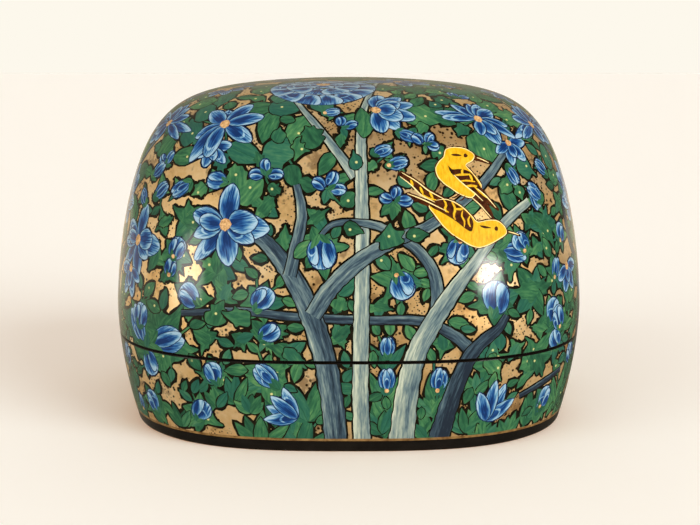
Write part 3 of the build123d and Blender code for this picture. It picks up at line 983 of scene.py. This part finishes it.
flat_points, triangles, topmost = cut_painting()
flat_turn = np.arctan2(flat_points[:, 1], flat_points[:, 0])
flat_travel = np.hypot(flat_points[:, 0], flat_points[:, 1])
centre_travel = np.hypot(*flat_points[triangles].mean(axis=1).T)
face_paint = np.array([patch["paint"] for patch in patches] + [PAINTS.index("gold")])[topmost]
at_seam = (centre_travel > LID_END - RIM_BLACK) & (centre_travel < BASE_START + RIM_BLACK)
face_paint[at_seam] = PAINTS.index("edge")
face_paint[centre_travel > LINE_START] = PAINTS.index("bronze")
face_paint[centre_travel > LINE_END] = PAINTS.index("edge")


def follow_strokes(points):
    """For each triangle's corners: across, along and seed of its patch; then its size and tone."""
    origins = np.array([patch["place"].origin for patch in patches] + [np.zeros(3)])
    across = np.array([patch["place"].across for patch in patches] + [np.array([1.0, 0, 0])])
    along = np.array([patch["place"].along for patch in patches] + [np.array([0, 0, 1.0])])
    seeds = np.array([patch["seed"] for patch in patches] + [0.0])
    sizes = np.array([(*patch["size"], patch["tone"]) for patch in patches] + [(1.0, 1.0, 0.5)])
    corners = points[triangles] - origins[topmost][:, None]
    strokes = np.stack([
        np.einsum("fck,fk->fc", corners, across[topmost]),
        np.einsum("fck,fk->fc", corners, along[topmost]),
        np.repeat(seeds[topmost][:, None], 3, axis=1),
    ], axis=-1)
    for number, patch in enumerate(patches):
        path = patch["path"]
        mine = np.nonzero(topmost == number)[0] if path else []
        if not len(mine):
            continue
        corner = points[triangles[mine]].reshape(-1, 3)
        near = np.argmin(np.linalg.norm(corner[:, None] - path["line"][None], axis=2), axis=1)
        off = corner - path["line"][near]
        strokes[mine, :, 0] = np.sum(off * path["beside"][near], axis=1).reshape(-1, 3)
        gone = path["travelled"][near] + np.sum(off * path["heading"][near], axis=1)
        strokes[mine, :, 1] = gone.reshape(-1, 3)
    return strokes, np.repeat(sizes[topmost][:, None], 3, axis=1)


flat_surface = surface(flat_turn, flat_travel)
strokes, sizes = follow_strokes(flat_surface)


# ---------------------------------------------------------------- the two painted skins
def linked(name, data):
    """A new object in the scene."""
    thing = bpy.data.objects.new(name, data)
    bpy.context.scene.collection.objects.link(thing)
    return thing


def loop_of(faces, wanted_travel):
    """The outer vertices of these faces nearest to this ring, in order of their turn."""
    pairs = np.sort(np.concatenate([faces[:, [0, 1]], faces[:, [1, 2]], faces[:, [2, 0]]]), axis=1)
    unique, counts = np.unique(pairs, axis=0, return_counts=True)
    rim = np.unique(unique[counts == 1])
    rim = rim[np.abs(flat_travel[rim] - wanted_travel) < 1.0]
    return rim[np.argsort(flat_turn[rim])]


INNER_TURNS = np.arange(INNER_POINTS) * 2 * math.pi / INNER_POINTS - math.pi


def rim_ring(turn, travel, way):
    """Points of a ring, their normals, and the directions in the surface that lead past the rim."""
    points, facing = surface(turn, travel), normals(turn, travel)
    ahead = surface(turn, travel + way * 0.5) - points
    ahead -= facing * np.sum(ahead * facing, axis=1, keepdims=True)
    return points, facing, ahead / np.linalg.norm(ahead, axis=1, keepdims=True)


class Skin:
    """A closed shell: painted faces outside, rounded black rims and a plain inside."""

    def __init__(self, faces_kept):
        faces = triangles[faces_kept]
        used, compact = np.unique(faces, return_inverse=True)
        self.new_index = {old: new for new, old in enumerate(used)}
        self.vertices = list(flat_surface[used])
        self.normals = list(normals(flat_turn[used], flat_travel[used]))
        self.faces = [tuple(face) for face in compact.reshape(-1, 3)]
        self.paints = list(face_paint[faces_kept])
        self.painted = len(self.faces)
        self.kept = faces_kept
        self.source = faces

    def row(self, turn, points, facing):
        """Adds a ring of vertices. Returns it as (turns, indices)."""
        start = len(self.vertices)
        self.vertices.extend(points)
        self.normals.extend(facing)
        return np.asarray(turn), np.arange(start, start + len(points))

    def rim(self, travel, way):
        """Rounds the rim off inwards from the ring at travel. Way is 1 for a lower rim, -1 for an upper."""
        rows = [self.outer_row(travel)]
        turn = rows[0][0]
        points, facing, ahead = rim_ring(turn, travel, way)
        for angle in np.linspace(0, math.pi / 2, RIM_STEPS + 1)[1:]:
            offset = ahead * math.sin(angle) - facing * (1 - math.cos(angle))
            slant = ahead * math.sin(angle) + facing * math.cos(angle)
            rows.append(self.row(turn, points + RIM_ROUND * offset, slant))
        points, facing, ahead = rim_ring(INNER_TURNS, travel, way)
        rows.append(self.row(INNER_TURNS, points + ahead * RIM_ROUND - facing * SKIN, ahead))
        for outer, inner in zip(rows, rows[1:]):
            self.zip(outer, inner, way)
        return rows[-1]

    def outer_row(self, travel):
        """The ring of painted vertices at travel."""
        found = loop_of(self.source, travel)
        return flat_turn[found], np.array([self.new_index[index] for index in found])

    def inside_row(self, travel):
        """A ring of new vertices inside the skin at travel."""
        facing = normals(INNER_TURNS, travel)
        return self.row(INNER_TURNS, surface(INNER_TURNS, travel) - facing * SKIN, -facing)

    def line_inside(self, inner, levels, way):
        """Goes on from the ring inside by one at each of these levels."""
        for travel in levels:
            outer, inner = inner, self.inside_row(travel)
            self.zip(outer, inner, way)
        return inner

    def zip(self, first, second, way):
        """Joins two rings by triangles, whatever their counts, facing outwards for way 1."""
        turns_a, ring_a = first
        turns_b, ring_b = second
        a = b = 0
        while a < len(ring_a) or b < len(ring_b):
            next_a = turns_a[a + 1] if a + 1 < len(ring_a) else turns_a[0] + 2 * math.pi
            next_b = turns_b[b + 1] if b + 1 < len(ring_b) else turns_b[0] + 2 * math.pi
            at_a, at_b = ring_a[a % len(ring_a)], ring_b[b % len(ring_b)]
            if b >= len(ring_b) or (a < len(ring_a) and next_a <= next_b):
                face = (at_a, at_b, ring_a[(a + 1) % len(ring_a)])
                a += 1
            else:
                face = (at_a, at_b, ring_b[(b + 1) % len(ring_b)])
                b += 1
            self.faces.append(face if way > 0 else face[::-1])
            self.paints.append(PAINTS.index("edge"))

    def fan(self, edge, point, facing):
        """Closes a ring with one point."""
        start = len(self.vertices)
        self.vertices.append(point)
        self.normals.append(facing)
        for index, following in zip(edge[1], np.roll(edge[1], -1)):
            self.faces.append((index, start, following))
            self.paints.append(PAINTS.index("edge"))

    def build(self, name, body, node, materials):
        """Makes the piece, its attributes for the paints and its map for the bake."""
        mesh = bpy.data.meshes.new(name)
        mesh.from_pydata([tuple(v) for v in np.array(self.vertices) * MM], [], self.faces)
        mesh.polygons.foreach_set("use_smooth", [True] * len(self.faces))
        mesh.polygons.foreach_set("material_index", self.paints)
        for material in materials:
            mesh.materials.append(material)
        painted = self.painted * 3  # their corners come first
        for label, plain, values in (("stroke", 0, strokes), ("size", 1, sizes)):
            rows = np.full((len(self.faces) * 3, 3), plain, np.float32)
            rows[:painted] = values[self.kept].reshape(-1, 3)
            attribute = mesh.attributes.new(label, "FLOAT_VECTOR", "CORNER")
            attribute.data.foreach_set("vector", rows.ravel())
        flat = chart(np.array(self.vertices))
        charted = flat[np.array(self.faces).ravel()] / (BAKE_MARGIN * np.hypot(*flat.T).max())
        charted[:painted] += 0.5
        charted[painted:] = charted[painted:] * 0.13 + 0.068  # the plain faces, small in a corner
        layer = mesh.uv_layers.new(name="OFBake")
        layer.data.foreach_set("uv", charted.astype(np.float32).ravel())
        mesh.normals_split_custom_set_from_vertices([tuple(n) for n in self.normals])
        mesh.update()
        piece = linked(name, mesh)
        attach(piece, body)
        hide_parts(node)


# ---------------------------------------------------------------- paints
VARNISH_IOR = 1.42


def shade(red, green, blue):
    """A colour given as it is seen, 0 to 255, in the linear form that shaders take."""
    seen = [value / 255 for value in (red, green, blue)]
    linear = [v / 12.92 if v <= 0.04045 else ((v + 0.055) / 1.055) ** 2.4 for v in seen]
    return (*linear, 1.0)


class Value:
    """A number in a shader, so that a paint is written as a formula."""

    def __init__(self, nodes, socket):
        self.nodes = nodes
        self.socket = socket

    def __add__(self, other):
        return self.nodes.math("ADD", self, other)

    def __sub__(self, other):
        return self.nodes.math("SUBTRACT", self, other)

    def __rsub__(self, other):
        return self.nodes.math("SUBTRACT", other, self)

    def __mul__(self, other):
        return self.nodes.math("MULTIPLY", self, other)

    def __truediv__(self, other):
        return self.nodes.math("DIVIDE", self, other)

    def __pow__(self, other):
        return self.nodes.math("POWER", self, other)

    def __abs__(self):
        return self.nodes.math("ABSOLUTE", self)

    def fraction(self):
        """The part after the point."""
        return self.nodes.math("FRACT", self)

    def above(self, other):
        """One above the other number and nothing elsewhere."""
        return self.nodes.math("GREATER_THAN", self, other)

    def at_least(self, other):
        """The larger of two numbers."""
        return self.nodes.math("MAXIMUM", self, other)

    def at_most(self, other):
        """The smaller of two numbers."""
        return self.nodes.math("MINIMUM", self, other)


class Nodes:
    """A node tree and short ways to add to it."""

    def __init__(self, tree):
        self.tree = tree

    def node(self, kind, settings=None, **inputs):
        """Adds a node. Its inputs are given by name, with an underscore for a space."""
        node = self.tree.nodes.new(kind)
        for name, value in (settings or {}).items():
            setattr(node, name, value)
        for name, value in inputs.items():
            self.feed(node.inputs[name.replace("_", " ")], value)
        return node

    def first(self, kind, *values, **settings):
        """Adds a node, feeds its inputs in order and gives its first output."""
        node = self.node(kind, settings)
        for socket, value in zip(node.inputs, values):
            self.feed(socket, value)
        return node.outputs[0]

    def feed(self, socket, value):
        """Links a socket or a value of this tree, or sets a constant."""
        if isinstance(value, Value):
            value = value.socket
        if isinstance(value, bpy.types.NodeSocket):
            self.tree.links.new(value, socket)
        else:
            socket.default_value = value

    def math(self, operation, *values):
        """One step of arithmetic."""
        return Value(self, self.first("ShaderNodeMath", *values, operation=operation))

    def apart(self, vector):
        """The three numbers of a vector."""
        return [Value(self, part) for part in self.node("ShaderNodeSeparateXYZ", Vector=vector).outputs]

    def between(self, value, low, high, bottom=0.0, top=1.0):
        """Bottom below low and top above high, smoothly."""
        node = self.node("ShaderNodeMapRange", {"interpolation_type": "SMOOTHSTEP"},
                         Value=value, From_Min=low, From_Max=high, To_Min=bottom, To_Max=top)
        return Value(self, node.outputs["Result"])

    def facing(self, vector):
        """How far a vector goes to the back, where the backdrop is."""
        node = self.node("ShaderNodeVectorMath", {"operation": "DOT_PRODUCT"})
        self.feed(node.inputs[0], vector)
        self.feed(node.inputs[1], BACKDROP_WAY)
        return node.outputs["Value"]


class Paint(Nodes):
    """A varnished material with the nodes that paint it."""

    def __init__(self, name, gloss=0.13, coat=1.0, roughness=0.5, metallic=0.0, wave=0.06):
        self.material = bpy.data.materials.new(name)
        self.material.use_nodes = True
        super().__init__(self.material.node_tree)
        self.shader = self.tree.nodes["Principled BSDF"]
        for label, value in (("Metallic", metallic), ("Roughness", roughness), ("Coat Weight", coat),
                             ("Specular IOR Level", 0.5 * (1 - coat)), ("Coat IOR", VARNISH_IOR),
                             ("Coat Roughness", gloss)):
            self.shader.inputs[label].default_value = value
        self.object = self.node("ShaderNodeTexCoord").outputs["Object"]
        if wave:
            swell = self.noise(self.object, 420, 3) * 0.05 + self.noise(self.object, 55, 2)
            self.relief("Coat Normal", swell, wave, 0.004)

    def relief(self, socket, height, strength, distance):
        """Relief under this normal socket."""
        bump = self.node("ShaderNodeBump", Strength=strength, Distance=distance, Height=height)
        self.feed(self.shader.inputs[socket], bump.outputs["Normal"])

    def attribute(self, name):
        """The three numbers that the mesh carries under this name."""
        return self.apart(self.node("ShaderNodeAttribute", {"attribute_name": name}).outputs["Vector"])

    def join(self, x, y, z):
        """The vector of three numbers."""
        return self.first("ShaderNodeCombineXYZ", x, y, z)

    def shifted(self, shift, other):
        """Object coordinates moved away, so that one noise doesn't repeat another."""
        return self.first("ShaderNodeVectorMath", self.object, (shift, other, shift * 0.7), operation="ADD")

    def noise(self, vector, scale=1.0, detail=3.0, roughness=0.55):
        """Clouded numbers between 0 and 1."""
        node = self.node("ShaderNodeTexNoise", Vector=vector, Scale=scale, Detail=detail,
                         Roughness=roughness)
        return Value(self, node.outputs["Fac"])

    def ramp(self, factor, *stops):
        """The colour at this factor, between stops of (position, red, green, blue)."""
        node = self.node("ShaderNodeValToRGB", Fac=factor)
        elements = node.color_ramp.elements
        while len(elements) < len(stops):
            elements.new(0.5)
        for element, (position, *seen) in zip(elements, stops):
            element.position = position
            element.color = shade(*seen)
        return node.outputs["Color"]

    def over(self, colour, share, *seen):
        """This share of another colour over a colour."""
        node = self.node("ShaderNodeMix", {"data_type": "RGBA"})
        for index, value in ((0, share), (6, colour), (7, shade(*seen))):
            self.feed(node.inputs[index], value)
        return node.outputs[2]

    def finish(self, colour):
        """The material, once its colour is known."""
        self.feed(self.shader.inputs["Base Color"], colour)
        return self.material


def gold_paint():
    """The gold ground: stained brown in places, with painted shade that browns it towards the right, and
    dark specks.
    """
    paint = Paint("gold_ground", roughness=0.42, metallic=0.62)
    tone = paint.noise(paint.object, 70, 4) * 0.75 + paint.noise(paint.object, 900, 3) * 0.25
    colour = paint.ramp(tone, (0.33, 196, 150, 92), (0.45, 232, 192, 130), (0.6, 246, 214, 162),
                        (0.75, 250, 223, 172))
    stain = paint.between(paint.noise(paint.shifted(37, 3), 120, 4, 0.65), 0.55, 0.63)
    colour = paint.over(colour, stain * 0.62, 120, 84, 50)
    # Painted shade: the gold is browned more the further right it lies (plus x), as if less light fell
    # there.
    painted_shade_right = paint.apart(paint.object)[0] * 3.0 + paint.noise(paint.shifted(5, 9), 32, 2)
    colour = paint.over(colour, paint.between(painted_shade_right, 0.52, 0.76) * 0.42, 138, 96, 56)
    for scale in (700, 1200):
        cells = paint.node("ShaderNodeTexVoronoi", Vector=paint.object, Scale=scale, Randomness=1.0)
        dots = paint.between(cells.outputs["Distance"], 0.32, 0.192)
        where = paint.between(paint.noise(paint.shifted(11, scale / 100), 95, 2), 0.47, 0.56)
        colour = paint.over(colour, dots * where, 52, 30, 16)
    return paint.finish(colour)


def leaf_paint():
    """Streaked green, with a vein down slender leaves and a pale dot on some."""
    paint = Paint("leaf_green")
    across, along, seed = paint.attribute("stroke")
    length, width, tone = paint.attribute("size")
    lead = seed * 91.0
    streak = paint.noise(paint.join(across * 1.5, along * 0.32, lead), 1, 3)
    cloud = paint.noise(paint.object, 240, 2)
    colour = paint.ramp(streak * 0.7 + seed * 0.24 - 0.15 + cloud * 0.3, (0.25, 28, 67, 50),
                        (0.45, 45, 95, 65), (0.6, 67, 118, 76), (0.8, 108, 148, 90))
    teal = paint.between((seed * 7.31).fraction(), 0.6, 0.9)
    colour = paint.over(colour, teal * 0.5, 34, 90, 84)
    edge = abs(across) / (width * 0.5)
    colour = paint.over(colour, paint.between(edge, 0.55, 1.05) * 0.2, 18, 50, 38)
    wander = paint.noise(paint.join(0.0, along * 0.5, lead)) * 0.8 - 0.4
    vein = paint.between(abs(across + wander), 0.2, 0.06)
    slim = paint.between(tone, 0.45, 0.55)
    colour = paint.over(colour, vein * slim * 0.5, 24, 70, 50)
    ahead = length * (seed * 0.3 + 0.32) - along
    aside = across + (seed * 0.8 - 0.4)
    dot = paint.between((ahead * ahead + aside * aside) ** 0.5, 0.42, 0.2)
    dotted = (seed * 13.7).fraction().above(slim * 0.5 + 0.2)
    roomy = paint.between(width, 3.0, 3.2)
    return paint.finish(paint.over(colour, dot * dotted * roomy, 200, 198, 130))


def petal_paint():
    """Blue with pale hair strokes along the edge and at the tip, or the plain dark line behind it."""
    paint = Paint("petal_blue")
    across, along, seed = paint.attribute("stroke")
    length, width, blunt = paint.attribute("size")
    lead = seed * 57.0
    share = along / length
    inner = share.at_least(0.001).at_most(0.999)
    form = inner ** PETAL_ROOT * (1.0 - inner) ** blunt
    belly = form * (blunt * 0.83 + 0.65) * width  # half the petal's width here
    hair = paint.noise(paint.join(across * 3.0, along * 0.3, lead), 1, 3)
    cloud = paint.noise(paint.join(across * 0.6, along * 0.35, lead), 1, 1)
    margin = (belly - abs(across)) / (width * 0.3 + 0.1)
    rim = paint.between(margin, 1.12, 0.0) * (hair * 0.9 + 0.12)
    rim = rim + paint.between(margin, 0.34, 0.16) * 0.16
    rim = rim + paint.between(blunt, 0.35, 0.25) * (rim * 1.3)
    tip = (share * 1.3 - 0.6).at_least(0.0) * (hair * 3.4 - 0.9).at_least(0.0)
    aside = across / (width * 0.5)
    bow = seed * 0.3 + 0.46 - aside * aside * 0.34
    folded = paint.between((seed * 17.3).fraction(), 0.7, 0.72)
    fold = paint.between(abs(share - bow), 0.06, 0.015) * folded * (hair + 0.2)
    pale = rim.at_least(fold) + tip + hair * 0.9 + cloud * 0.5 - 0.71
    colour = paint.ramp(pale, (0.0, 18, 46, 94), (0.16, 27, 70, 128), (0.36, 48, 99, 149),
                        (0.58, 88, 136, 170), (0.84, 127, 165, 187), (1.0, 152, 182, 202))
    root = paint.between(share, 0.2, 0.0)
    colour = paint.over(colour, root * 0.5, 14, 44, 104)
    line = paint.between(blunt, -0.4, -0.6)
    return paint.finish(paint.over(colour, line, 16, 34, 72))


def bark_paint():
    """Slate and blue grey, streaked along the bough and lighter along one edge."""
    paint = Paint("bark_grey")
    across, along, seed = paint.attribute("stroke")
    _, width, tone = paint.attribute("size")
    lead = seed * 43.0
    long_streak = paint.noise(paint.join(across * 1.3, along * 0.09, lead), 1, 3)
    short_streak = paint.noise(paint.join(across * 3.0, along * 0.4, lead), 1, 3)
    lit = paint.between(across / (width * 0.5), 0.1, -0.7)
    value = (long_streak * 0.65 + short_streak * 0.35) * 2.0 - 1.0 + tone + lit * 0.24 - 0.1
    return paint.finish(paint.ramp(value, (0.0, 32, 42, 54), (0.3, 59, 79, 92), (0.55, 100, 120, 123),
                                   (0.8, 144, 157, 146), (1.0, 184, 191, 171)))


def plumage_paint():
    """The birds' yellow, and a paler one where the tone is high."""
    paint = Paint("bird_yellow")
    across, along, _ = paint.attribute("stroke")
    _, _, tone = paint.attribute("size")
    streak = paint.noise(paint.join(across * 1.6, along * 0.5, 3.0), 1, 3)
    colour = paint.ramp(streak, (0.25, 196, 134, 16), (0.45, 218, 166, 20), (0.8, 230, 192, 44))
    return paint.finish(paint.over(colour, paint.between(tone, 0.8, 0.95), 246, 222, 156))


def grained(name, scale, detail, *stops, **finish):
    """A paint with nothing but a grain."""
    paint = Paint(name, **finish)
    return paint.finish(paint.ramp(paint.noise(paint.object, scale, detail), *stops))


def contour_paint():
    """The black behind leaves and petals."""
    return grained("black_contour", 700, 2, (0.35, 12, 11, 6), (0.7, 30, 26, 14))


def heart_paint():
    """The ochre hearts of the flowers."""
    return grained("flower_heart", 1500, 2, (0.4, 176, 132, 84), (0.6, 218, 178, 124))


def wing_paint():
    """The dark brown on the birds."""
    return grained("bird_brown", 900, 2, (0.35, 44, 18, 8), (0.7, 86, 42, 16))


def bronze_paint():
    """The thin line above the black edge."""
    line = (0.35, 128, 92, 52), (0.65, 192, 150, 92)
    return grained("bronze_line", 500, 3, *line, roughness=0.35, metallic=0.5)


def black_lacquer(name):
    """Plain black lacquer."""
    return grained(name, 180, 3, (0.3, 14, 12, 10), (0.75, 26, 22, 19), gloss=0.12)


def pulp_paint(rim):
    """Raw grey pulp, with black lacquer on the sawn rim at this height."""
    paint = Paint("paper_pulp", coat=0.0, roughness=0.9, wave=0)
    fibre = paint.noise(paint.object, 900, 5, 0.7)
    colour = paint.ramp(fibre, (0.3, 128, 116, 98), (0.7, 176, 164, 142))
    off = abs(paint.apart(paint.object)[2] - rim)
    paint.relief("Normal", fibre, 0.3, 0.0004)
    return paint.finish(paint.over(colour, paint.between(off, 0.0015, 0.0012), 26, 23, 20))


paints = [
    gold_paint(), contour_paint(), leaf_paint(), petal_paint(), bark_paint(), heart_paint(),
    plumage_paint(), wing_paint(), bronze_paint(), black_lacquer("edge_black"),
]

lid = Skin(np.nonzero(centre_travel < LID_END)[0])
inner = lid.line_inside(lid.rim(LID_END, 1), np.arange(LID_END - 1, 4, -6.0), 1)
lid.fan(inner, surface(0.0, 0.0) - np.array([0, 0, SKIN]), np.array([0, 0, -1.0]))
lid.build("lid_painting", "lid", "lid_painted_skin", paints)

base = Skin(np.nonzero((centre_travel > BASE_START) & (centre_travel < BASE_END))[0])
levels = [*np.arange(BASE_START + 4, BASE_END, 5.0), BASE_END]
inner = base.line_inside(base.rim(BASE_START, -1), levels, -1)
base.zip(inner, base.outer_row(BASE_END), -1)
base.build("base_painting", "base", "base_painted_skin", paints)

black = black_lacquer("black_lacquer")
for name in ("lid_lining", "base_lining", "base_collar", "base_underside_skin"):
    frame["nodes"][name].data.materials.clear()
    frame["nodes"][name].data.materials.append(black)
for name, rim in (("lid_shell", LID_RIM * MM), ("base_shell", BASE_RIM * MM)):
    frame["nodes"][name].data.materials.clear()
    frame["nodes"][name].data.materials.append(pulp_paint(rim))

# ---------------------------------------------------------------- floor, lamps, camera; in metres
PAPER = shade(253, 248, 236)
HAZE = shade(255, 236, 204)  # what the varnish mirrors
BACKDROP_WAY = (-0.5, 0.87, 0)  # from the box towards the bright backdrop
FLOOR_REACH = 6.0
FLOOR_DIFFUSE = (0.75, 0.9, 0.957, 1)
FLOOR_GLOW = (0.297, 0.11, 0.0, 1)
AMBIENT = (1.0, 0.97, 0.92, 1)
AMBIENT_STRENGTH = 0.36
BOX_LIGHT = (1.0, 0.96, 0.9)
SUN_LIGHT = (1.0, 0.97, 0.92)
LAMP_AIM = Vector((0, 0, 0.045))


def floor():
    """A pale floor, which the varnish mirrors as bright behind the box and dim in front of it."""
    mesh = bpy.data.meshes.new("floor")
    reach = FLOOR_REACH
    corners = [(-reach, -reach, 0), (reach, -reach, 0), (reach, reach, 0), (-reach, reach, 0)]
    mesh.from_pydata(corners, [], [(0, 1, 2, 3)])
    thing = linked("floor", mesh)
    material = bpy.data.materials.new("floor_paper")
    material.use_nodes = True
    material.node_tree.nodes.clear()
    nodes = Nodes(material.node_tree)
    diffuse = nodes.node("ShaderNodeBsdfDiffuse", Color=FLOOR_DIFFUSE).outputs[0]
    glow = nodes.node("ShaderNodeEmission", Color=FLOOR_GLOW).outputs[0]
    where = nodes.node("ShaderNodeNewGeometry").outputs["Position"]
    strength = nodes.between(nodes.facing(where), -0.06, 0.3, 0.1, 0.8)
    mirrored = nodes.node("ShaderNodeEmission", Color=HAZE, Strength=strength).outputs[0]
    path = nodes.node("ShaderNodeLightPath")
    lit = nodes.first("ShaderNodeAddShader", diffuse, glow)
    mix = nodes.first("ShaderNodeMixShader", path.outputs["Is Glossy Ray"], lit, mirrored)
    nodes.node("ShaderNodeOutputMaterial", Surface=mix)
    mesh.materials.append(material)


def world():
    """Pale to the camera. The varnish mirrors a dim room, and the bright backdrop behind the box."""
    sky = bpy.data.worlds.new("studio")
    bpy.context.scene.world = sky
    sky.use_nodes = True
    sky.node_tree.nodes.clear()
    nodes = Nodes(sky.node_tree)
    ambient = nodes.node("ShaderNodeBackground", Color=AMBIENT, Strength=AMBIENT_STRENGTH).outputs[0]
    where = nodes.node("ShaderNodeTexCoord").outputs["Generated"]
    strength = nodes.between(nodes.facing(where), -0.15, 0.75, 0.06, 0.32)
    room = nodes.node("ShaderNodeBackground", Color=HAZE, Strength=strength).outputs[0]
    backdrop = nodes.node("ShaderNodeBackground", Color=PAPER).outputs[0]
    path = nodes.node("ShaderNodeLightPath")
    unseen = nodes.first("ShaderNodeMixShader", path.outputs["Is Glossy Ray"], ambient, room)
    seen = nodes.first("ShaderNodeMixShader", path.outputs["Is Camera Ray"], unseen, backdrop)
    nodes.node("ShaderNodeOutputWorld", Surface=seen)


def light(kind, name, azimuth, elevation, power, colour):
    """A lamp turned to the box, azimuth turned from the front towards the right."""
    data = bpy.data.lights.new(name, kind)
    data.energy = power
    data.color = colour
    thing = linked(name, data)
    turn, rise = math.radians(azimuth), math.radians(elevation)
    away = Vector((math.sin(turn) * math.cos(rise), -math.cos(turn) * math.cos(rise), math.sin(rise)))
    thing.rotation_euler = (-away).to_track_quat("-Z", "Y").to_euler()
    return thing, away


def lamp(name, azimuth, elevation, distance, width, height, power):
    """A soft box that only the varnish mirrors."""
    thing, away = light("AREA", name, azimuth, elevation, power, BOX_LIGHT)
    thing.data.shape = "ELLIPSE"
    thing.data.size, thing.data.size_y = width, height
    thing.location = LAMP_AIM + away * distance
    thing.visible_diffuse = False


def sun(name, azimuth, elevation, spread, strength):
    """A far lamp that the varnish doesn't mirror."""
    thing, _ = light("SUN", name, azimuth, elevation, strength, SUN_LIGHT)
    thing.data.angle = math.radians(spread)
    thing.visible_glossy = False


floor()
world()
lamp("right_box", 45.6, 3.5, 1.1, 0.32, 0.14, 3.1)
lamp("left_haze", -30, 3, 1.1, 0.5, 0.3, 0.4)
lamp("left_box", -59, 2, 1.1, 0.4, 0.34, 2.3)
sun("main_light", 49, 24, 40, 2.0)
sun("front_light", 5, 14, 50, 0.45)
sun("left_light", -50, 25, 50, 0.78)
sun("right_fill", 46, 4, 40, 0.82)
sun("left_fill", -57, 4, 40, 0.7)
sun("back_light", 170, 58, 60, 0.45)

# The camera, as the outline in the photograph gives it
CAMERA_DISTANCE = 0.381
CAMERA_RISE = math.radians(8.95)
AIM_HEIGHT = 0.0381
LENS = 68.57  # millimetres
SIDE_SHIFT = 0.0018  # as a share of the picture's width
camera = linked("camera", bpy.data.cameras.new("camera"))
camera.data.lens = LENS
camera.data.shift_x = SIDE_SHIFT
aim = Vector((0, 0, AIM_HEIGHT))
camera.location = aim + CAMERA_DISTANCE * Vector((0, -math.cos(CAMERA_RISE), math.sin(CAMERA_RISE)))
camera.rotation_euler = (aim - camera.location).to_track_quat("-Z", "Y").to_euler()
bpy.context.scene.camera = camera
bpy.context.scene.view_settings.view_transform = "Standard"
